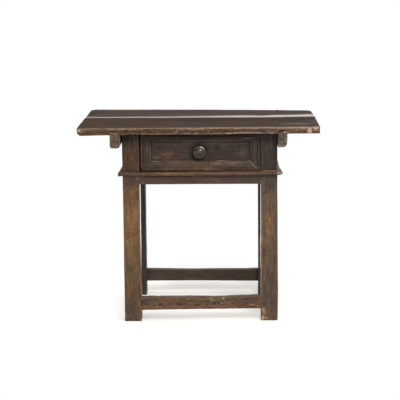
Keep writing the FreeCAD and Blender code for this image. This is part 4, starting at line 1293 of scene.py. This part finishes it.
NOSE_TONES = (
    (127, 174, 36, 16, (62, 51, 42)), (172, 173.5, 60, 7, (98, 74, 50)),
    (210, 173.5, 50, 7, (94, 69, 54)), (250, 174, 50, 10, (78, 59, 48)),
    (171.6, 174.2, 5, 3.5, (62, 42, 26)), (147, 173.6, 18, 6, (70, 55, 44)),
    (226.5, 173.6, 6, 4.5, (76, 55, 42)), (231.5, 174, 4, 4, (66, 48, 37)),
    (240, 173.4, 8, 3, (104, 80, 66)), (266, 173.8, 24, 5, (70, 52, 44)),
    (272.5, 174, 5, 5, (54, 38, 33)), (278.2, 173.2, 4, 3.5, (150, 116, 104)),
    (280.4, 172.8, 3, 3, (190, 170, 156)), (276.5, 174.8, 5, 2.5, (60, 34, 28)))
frame_moulding(
    "front", -BASE_X - NOSE, BASE_X + NOSE, (1, 1),
    Matrix.Translation((0, -BASE_Y - NOSE, MOULDING_Z)), X,
    patches=[
        # Painted shade along the fillet, under the overhanging drawer front and darkest on the left;
        # the pale line over the right leg and the pale top of the right corner are painted
        # highlights.
        fillet_line(0, INNER_X, 2.4, (52, 22, 8), 0.15),
        fillet_line(-0.15, 95 * MM, 4, (16, 6, 2), 0.3),
        fillet_line(0.15, 70 * MM, 1.8, (84, 62, 48), 0.3, FILLET - 1 * MM),
        fillet_line(0.277, 42 * MM, 2.4, (132, 110, 96), 0.15),
        Patch((0.2995, -BASE_Y - 8 * MM, MOULDING_Z + 18 * MM), (8 * MM, 16 * MM, 9 * MM),
              tone=(150, 134, 124), ragged=0.1, square=True),
        *spots(NOSE_FACE, NOSE_TONES, ragged=0.4),
    ],
    warp=combined(stretched(X, (-BASE_X - NOSE, 5 * MM), (-BASE_X, 0)), swollen, tip))
frame_moulding(
    "left", -BASE_Y, BASE_Y + NOSE, (0, 1),
    Matrix.Translation((-BASE_X - NOSE, 0, MOULDING_Z)) @ Matrix.Rotation(-QUARTER, 4, "Z"), Y,
    # Painted shade: the whole left run is darker than its wood, as the side away from the light.
    patches=[Patch((-BASE_X, 0, 0.57), (0.1, 0.4, 0.1), tone=(42, 33, 27), square=True, ragged=0)],
    warp=shifted(X, Y, *LEFT_RUN_STOPS))
frame_moulding(
    "right", -BASE_Y - NOSE, BASE_Y, (1, 0),
    Matrix.Translation((BASE_X + NOSE, 0, MOULDING_Z)) @ Matrix.Rotation(QUARTER, 4, "Z"), Y,
    patches=[Patch((BASE_X, 0, 0.59), (0.1, 0.3, 0.03), polish=0.5, facing=UP, ragged=0),
             Patch((BASE_X + 6 * MM, -BASE_Y - 10 * MM, 0.566), (12 * MM, 16 * MM, 9 * MM),
                   tone=(124, 110, 102))],
    warp=combined(tip, shifted(
        X, Y, (-BASE_Y, -0.21, -0.165, -0.12, BASE_Y), (0, 2 * MM, -1.5 * MM, -4 * MM, -4 * MM))))

# --- Drawer ---

BLOOM = ((60, 46, 40), (46, 38, 30), (64, 52, 48), (52, 48, 46), (70, 52, 40))
front_low, front_high = [Vector(corner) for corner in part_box("drawer_front")]
front_middle = (front_low + front_high) / 2
half_front = (front_high - front_low) / 2
PANEL_FACE = front_low.y
PANEL = (Y, PANEL_FACE)
rose_low, rose_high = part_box("knob_rose")
KNOB_SHIFT = 0.8 * MM
KNOB_X = (rose_low[X] + rose_high[X]) / 2 + KNOB_SHIFT
KNOB_Z = (rose_low[Z] + rose_high[Z]) / 2
FRAME_WIDTH = 42 * MM
# The drawer front hangs right of the opening's middle and low, and its panel is a little taller.
LEFT_SHIFT, RIGHT_SHIFT = 4.2 * MM, 3 * MM
DROP = 3 * MM
PANEL_RISE, RIM_RISE, RIM_DEPTH = 6 * MM, 5 * MM, 26 * MM
hung = combined(
    stretched(X, (front_low.x, LEFT_SHIFT), (front_low.x + FRAME_WIDTH, LEFT_SHIFT),
              (front_high.x - FRAME_WIDTH, RIGHT_SHIFT), (front_high.x, RIGHT_SHIFT)),
    stretched(Z, (front_low.z, -DROP), (front_low.z + FRAME_WIDTH, -DROP),
              (front_high.z - FRAME_WIDTH, PANEL_RISE), (front_high.z - RIM_DEPTH, RIM_RISE),
              (front_high.z, 0)),
    rounded(X, Z, (front_low.x + LEFT_SHIFT, front_low.z - DROP), (-1, -1), 12 * MM))
# The first two rows are painted light: they lift the top of the panel, which lies in the shadow of
# the table top.
PANEL_TONES = (
    (200, 144.2, 200, 9, (76, 65, 58)), (222, 146.6, 72, 9, (70, 60, 54)),
    (244, 149, 14, 20, (70, 60, 54)), (154, 158, 12, 14, (70, 60, 52)),
    (158, 157, 24, 8, (84, 68, 54)))
PANEL_STAINS = (
    (167, 154.5, 30, 14, (82, 62, 46)), (165, 154.2, 18, 9, (90, 69, 51)),
    (158, 149, 12, 10, (56, 46, 34)), (153, 156, 8, 7, (58, 54, 50)),
    (162, 146, 22, 5, (52, 46, 40)), (175, 151, 12, 14, (70, 47, 41)),
    (172, 146, 10, 5, (58, 46, 44)), (186, 152, 16, 14, (54, 47, 46)),
    (180, 158, 20, 4, (66, 48, 40)), (218, 148, 16, 12, (46, 40, 32)),
    (228, 152, 18, 10, (50, 43, 34)), (232, 147, 14, 8, (52, 44, 40)),
    (212, 156, 24, 6, (50, 42, 38)), (242, 153, 14, 9, (68, 54, 44)),
    (242, 146, 16, 6, (54, 52, 48)))
timber(
    "drawer_front", X, "drawer", "drawer_front_wood", 1 * MM, 1 * MM, body="drawer", chips=0,
    swell=0.3 * MM, warp=hung, step=(3 * MM, 8 * MM, 3 * MM),
    patches=[
        Patch((-0.13, PANEL_FACE, 0.655), (0.1, 0.02, 0.06), tone=(62, 48, 39), ragged=0.2),
        *spots(PANEL, PANEL_TONES, ragged=0.3, strength=0.8),
        *strewn(40, (-0.18, PANEL_FACE, 0.625), (0.18, PANEL_FACE, 0.685), (0.004, 0.01, 0.002),
                (0.014, 0.01, 0.005), BLOOM, ragged=0.4, strength=0.6),
        *spots(PANEL, PANEL_STAINS, ragged=0.4),
        # Painted shadow: a near-black ring on the panel round the knob, wider below and to the left.
        Patch((KNOB_X - 4 * MM, PANEL_FACE, KNOB_Z - 4 * MM), (35 * MM, 10 * MM, 34 * MM),
              tone=(7, 4, 2), ragged=0.15),
    ])
for node, along in (("drawer_side_left", Y), ("drawer_side_right", Y), ("drawer_back", X),
                    ("drawer_bottom", X)):
    timber(node, along, "inner", "inner_wood", 1.2 * MM, 1 * MM, body="drawer", step=8 * MM)

FRAME_HEIGHT = 12 * MM
border_section = dense_outline(
    [(0, 0), (42, 0), (42, 0.8), (40.4, 1.8), (38.6, 4.0), (37, 6.4), (35.6, 8.0), (34.4, 8.6)]
    + [(33, 8.8), (31.6, 8.6), (31, 8.1), (29.8, 8.1), (29.2, 8.8), (27, 9.6), (23, 10.6)]
    + [(18, 11.4), (14, 11.7), (11.6, 11.3), (11, 9.8), (9.2, 9.8), (8.6, 11.2), (7.4, 12)]
    + arc((1.6, 10.4), 1.6, 90, 180, 5), 2 * MM)
border_arrises = ((13, 11.6), (0.7, 11.3))
BORDER_FACE = (Y, PANEL_FACE - FRAME_HEIGHT)
# Where the right and the bottom moulding meet, glints run down the mitre a pixel at a time.
MITRE_START = (249.4, 160.6)
MITRE_SLOPE = 0.95
MITRE_GLINTS = [
    (MITRE_START[0] + MITRE_SLOPE * step, MITRE_START[1] + step, 2.4, 2.4, (122, 112, 108))
    for step in range(9)]
# Much of the drawer mouldings' light and shade is painted in these rows: the upper run's dark band
# is painted shadow of the table top, the dark lines are painted shade in the quirks, and the pale
# lines are painted highlights on lit slopes and arrises. The other rows are the wood's tone.
TOP_BORDER_SHADE_AND_HIGHLIGHTS = (
    (200, 135.5, 260, 8, (24, 15, 10)), (204, 137, 210, 2.2, (8, 4, 2)),
    (200, 138.2, 230, 1.9, (60, 48, 41)), (200, 139.2, 230, 1.9, (40, 30, 24)),
    (200, 140.7, 220, 3.4, (104, 91, 82)), (196, 141.6, 190, 3, (116, 102, 92)),
    (231, 139.3, 52, 2, (24, 18, 15)), (249, 138.2, 34, 2.0, (78, 83, 90)),
    (246, 139.3, 30, 1.8, (30, 32, 38)), (248, 136.7, 30, 3, (8, 5, 4)),
    (246, 135, 34, 2.2, (50, 24, 8)))
LEFT_BORDER_LIGHT_AND_SHADE = (
    (141, 152, 2.6, 44, (66, 52, 44)), (143.1, 152, 2.4, 44, (34, 24, 19)),
    (147, 150, 3, 24, (84, 73, 66)), (150.5, 154, 3.6, 44, (110, 97, 88)),
    (143.6, 166, 8, 9, (60, 50, 46)), (142.2, 166.5, 2.5, 8, (78, 68, 66)))
RIGHT_BORDER_LIGHT_AND_SHADE = (
    (254.5, 150, 12, 40, (65, 54, 49)), (250.2, 151, 4, 36, (80, 68, 62)),
    (252.3, 149, 1.9, 30, (30, 24, 22)), (248.4, 151, 2.6, 36, (98, 86, 80)),
    (257.3, 150, 1.8, 34, (42, 34, 32)), *MITRE_GLINTS, (255.6, 161.6, 3, 3, (84, 76, 76)))
BOTTOM_BORDER_TONES_AND_LIGHT = (
    (200, 165, 300, 20, (72, 56, 45)), (170, 160.9, 84, 3.2, (108, 88, 82)),
    (180, 163.6, 60, 3.6, (73, 58, 46)), (160, 166, 34, 4, (54, 43, 35)),
    (156, 161.8, 20, 4, (106, 88, 80)), (180, 165.4, 46, 3.6, (62, 49, 39)),
    (180, 168.2, 60, 6, (82, 57, 43)), (198, 168, 26, 6, (98, 69, 50)),
    (209, 167.8, 26, 6, (100, 72, 52)), (213, 169.6, 44, 3, (104, 74, 54)),
    (220, 161.2, 22, 2.6, (118, 90, 82)), (214, 163.4, 30, 3, (100, 82, 70)),
    (232, 162.8, 26, 4, (98, 80, 72)), (236, 166, 24, 4, (72, 56, 46)),
    (231, 165, 10, 4, (98, 79, 70)), (241, 162.2, 20, 3, (88, 75, 72)),
    (247.2, 164.4, 10, 6, (44, 36, 32)), *MITRE_GLINTS, (247, 165.4, 18, 7, (60, 51, 48)),
    (228, 168.6, 26, 3, (58, 42, 30)), (153, 168, 24, 4, (54, 45, 38)),
    (160, 163.2, 20, 2, (82, 67, 54)), (165, 169.8, 60, 1.8, (92, 68, 58)))
border_patches = {
    "top": spots(BORDER_FACE, TOP_BORDER_SHADE_AND_HIGHLIGHTS, ragged=0.1),
    "left": spots(BORDER_FACE, LEFT_BORDER_LIGHT_AND_SHADE, ragged=0.25),
    "right": spots(BORDER_FACE, RIGHT_BORDER_LIGHT_AND_SHADE, ragged=0.3),
    "bottom": spots(BORDER_FACE, BOTTOM_BORDER_TONES_AND_LIGHT, ragged=0.45),
}


def drawer_moulding(side, centre, half_length, angle, along):
    """One of the four mitred mouldings on the drawer front, turned about Y by an angle."""
    node = f"drawer_moulding_{side}"
    obj = moulding(
        f"{node}_worn", border_section, -half_length, half_length, 1, 1, arrises=border_arrises)
    turn = Matrix.Rotation(angle, 4, "Y") @ Matrix.Rotation(QUARTER, 4, "X")
    put(obj, Matrix.Translation(centre) @ turn)
    wear(obj, along, tones["drawer"], swell=0.25 * MM, chips=0, warp=hung,
         patches=border_patches[side])
    stand_for(obj, node, "drawer", woods["drawer"])


drawer_moulding("bottom", (front_middle.x, PANEL_FACE, front_low.z), half_front.x, 0, X)
drawer_moulding("left", (front_low.x, PANEL_FACE, front_middle.z), half_front.z, QUARTER, Z)
drawer_moulding("top", (front_middle.x, PANEL_FACE, front_high.z), half_front.x, 2 * QUARTER, X)
drawer_moulding("right", (front_high.x, PANEL_FACE, front_middle.z), half_front.z, -QUARTER, Z)

# --- Knob ---

KNOB_FACE = (Y, PANEL_FACE - 33 * MM)
towards_front = Matrix.Translation((KNOB_X, PANEL_FACE, KNOB_Z)) @ Matrix.Rotation(QUARTER, 4, "X")
knob_outline = (
    [(0, -29), (3.5, -29), (3.5, 2.5), (8.5, 2.5), (8, 10), (9.5, 15), (14, 18.2), (20.6, 19.2)]
    + arc((21.3, 22.7), 3.5, -75, 35, 8)
    + [(22.2, 26.2), (19.6, 27.5), (17.6, 27.2), (16, 27.8), (13, 30.4), (9, 32.6), (5, 33.6)]
    + [(2.4, 33.9), (0, 33.9)])
rose_outline = [
    (0, 0), (19, 0), (19, 1.2), (18.4, 2.1), (17, 2.5), (15, 2.0), (14, 2.5), (0, 2.5)]
# Painted highlights on the upper right of the dome and painted shade on its left and below.
KNOB_HIGHLIGHTS_AND_SHADE = (
    (201.5, 147.6, 5, 2.2, (104, 98, 88)), (200.8, 149.8, 5, 2, (86, 80, 70)),
    (199, 154.5, 10, 5, (60, 54, 45)), (197.8, 150.6, 6, 6, (60, 54, 44)),
    (203.6, 148.8, 4.5, 5, (108, 102, 92)), (195, 150.4, 4, 8, (38, 32, 25)))
for node, outline in (("knob", knob_outline), ("knob_rose", rose_outline)):
    obj = lathe(f"{node}_worn", dense_outline(outline, 1.2 * MM, closed=False))
    put(obj, towards_front)
    wear(obj, Y, tones["brass"], swell=0.12 * MM, chips=0,
         patches=spots(KNOB_FACE, KNOB_HIGHLIGHTS_AND_SHADE, ragged=0.4))
    stand_for(obj, node, "drawer", brass_material)

# --- Parts that keep their CAD shape ---


def plain_wood(name, stretch, dark, light):
    """Wood for a CAD node, whose grain runs along the axis with the small stretch."""
    tree = new_material(name)
    place = tree.add("TexCoord").outputs["Object"]
    streaks = tree.noise(place, stretch, detail=4.0)
    fine = tree.noise(place, tuple(6 * part for part in stretch), detail=3.0)
    share = tree.math("MULTIPLY_ADD", fine, 0.4, tree.math("MULTIPLY", streaks, 0.6))
    return tree.finish({
        "Base Color": tree.mix(tree.ramp(share, 0.35, 0.65), colour(*dark), colour(*light)),
        "Roughness": tree.ramp(streaks, 0.3, 0.7, 0.55, 0.75),
        "Normal": tree.bump(share, 0.5, 0.4 * MM), "Specular IOR Level": 0.2, "Metallic": 0.0})


lengthwise = plain_wood("inner_wood_lengthwise", (150, 8, 150), (84, 62, 42), (138, 108, 76))
end_grain = plain_wood("peg_wood_ends", (260,) * 3, (44, 34, 27), (86, 68, 52))

# Pins nearer to the middle than this sit in the side runs.
PIN_SPAN = BASE_Y - 20 * MM
LEFT_PIN_DEPTH = 1 * MM
RIGHT_PIN_SHIFT = -5 * MM


def sunk_pins():
    """The frame moulding's pins, moved so that they stay in its worn and shifted side runs."""
    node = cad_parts["moulding_pins"]
    mesh = node.data.copy()
    mesh.materials.clear()
    obj = bpy.data.objects.new("moulding_pins_worn", mesh)
    bpy.context.scene.collection.objects.link(obj)
    put(obj, node.matrix_world)
    points = get_rows(mesh.vertices, "co")
    at_side = np.abs(points[:, Y]) < PIN_SPAN
    left_shift = np.interp(points[:, Y], *LEFT_RUN_STOPS) + LEFT_PIN_DEPTH
    points[:, X] += at_side * np.where(points[:, X] < 0, left_shift, RIGHT_PIN_SHIFT)
    set_points(obj, points)
    stand_for(obj, "moulding_pins", "table", iron_material)


sunk_pins()
IRON_NODES = ("drawer_nails", "drawer_stop_nails", "drawer_moulding_pins", "knob_nut")
for node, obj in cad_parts.items():
    if node in IRON_NODES:
        material = iron_material
    elif node.endswith("_pegs"):
        material = end_grain
    elif node.startswith(("drawer_runner", "drawer_stop")):
        material = lengthwise
    else:
        continue
    for place in obj.material_slots:
        place.material = material

# === Floor, world and lamps ===

FLOOR_HALF = 12.0
SKY_LEVEL = 0.42
TABLE_MIDDLE = (0, 0, 0.5)


def make_floor():
    """A white floor that shows a soft shadow under the table and reads as white round it."""
    half = FLOOR_HALF
    corners = [(-half, -half, 0), (half, -half, 0), (half, half, 0), (-half, half, 0)]
    floor = make_object("floor", corners, [(0, 1, 2, 3)])
    tree = new_material("floor_white")
    diffuse = tree.add("BsdfDiffuse", {"Color": colour(220, 217, 212)})
    place = tree.add("TexCoord").outputs["Object"]
    side, back, _ = tree.add("SeparateXYZ", {0: place}).outputs

    # The floor between the legs glows a little, and the glow paints shade and light: it is less
    # towards the back, less in a strip behind the front stretcher as a painted shadow, and more
    # beside the left back foot as painted light.
    lift = tree.ramp(back, -0.2, 0.3, 0.59, 0.41)
    strip = tree.math("MULTIPLY", tree.ramp(back, -0.27, -0.21), tree.ramp(back, -0.15, -0.19))
    strip = tree.math("MULTIPLY", strip, tree.ramp(side, 0.1, -0.1, 0.08, 0.16))
    lift = tree.math("SUBTRACT", lift, strip)
    corner = tree.math("MULTIPLY", tree.ramp(back, 0.26, 0.33), tree.ramp(side, -0.1, -0.18))
    lift = tree.math("MULTIPLY_ADD", corner, 0.14, lift)
    glow = tree.add("Emission", {"Color": colour(255, 252, 247), "Strength": lift})
    white = tree.add("Emission", {"Color": colour(255, 255, 255), "Strength": 1.0})
    both = tree.add("AddShader", {0: diffuse.outputs[0], 1: glow.outputs[0]})

    # Away from the table the floor is plain white to the camera.
    from_middle = tree.add("VectorMath", {0: place}, operation="ABSOLUTE").outputs[0]
    across, deep, _ = tree.add("SeparateXYZ", {0: from_middle}).outputs
    near = tree.math("MULTIPLY", tree.ramp(across, 0.36, 0.255), tree.ramp(deep, 0.85, 0.25))
    shown = tree.add("MixShader", {0: near, 1: white.outputs[0], 2: both.outputs[0]})
    final = tree.add("MixShader", {0: tree.watched(), 1: diffuse.outputs[0], 2: shown.outputs[0]})
    tree.feed(tree.nodes["Material Output"].inputs["Surface"], final.outputs[0])
    tree.nodes.remove(tree.nodes["Principled BSDF"])
    floor.data.materials.append(tree.owner)


def make_world():
    """White to the camera, to metal and to glass, and a soft even light to everything else."""
    tree = Tree(bpy.data.worlds.new("studio"))
    bpy.context.scene.world = tree.owner
    tree.nodes.clear()
    inputs = {0: tree.watched()}
    for place, strength in enumerate((SKY_LEVEL, 1.0), start=1):
        light = tree.add("Background", {"Color": (1, 1, 1, 1), "Strength": strength})
        inputs[place] = light.outputs[0]
    tree.add("OutputWorld", {"Surface": tree.add("MixShader", inputs).outputs[0]})


def make_lamp(name, place, size, power):
    """A soft square lamp that points at the middle of the table."""
    light = bpy.data.lights.new(name, "AREA")
    light.shape = "SQUARE"
    light.size = size
    light.energy = power
    lamp = bpy.data.objects.new(name, light)
    lamp.location = place
    aim = Vector(TABLE_MIDDLE) - Vector(place)
    lamp.rotation_euler = aim.to_track_quat("-Z", "Y").to_euler()
    bpy.context.scene.collection.objects.link(lamp)


make_floor()
make_world()
make_lamp("key", (1.2, -3.4, 3.1), 1.4, 130)
make_lamp("fill", (-2.4, -3.6, 1.8), 2.2, 40)
make_lamp("overhead", (0, 0.4, 4.2), 2, 35)
make_camera()
bpy.context.scene.view_settings.view_transform = "Standard"
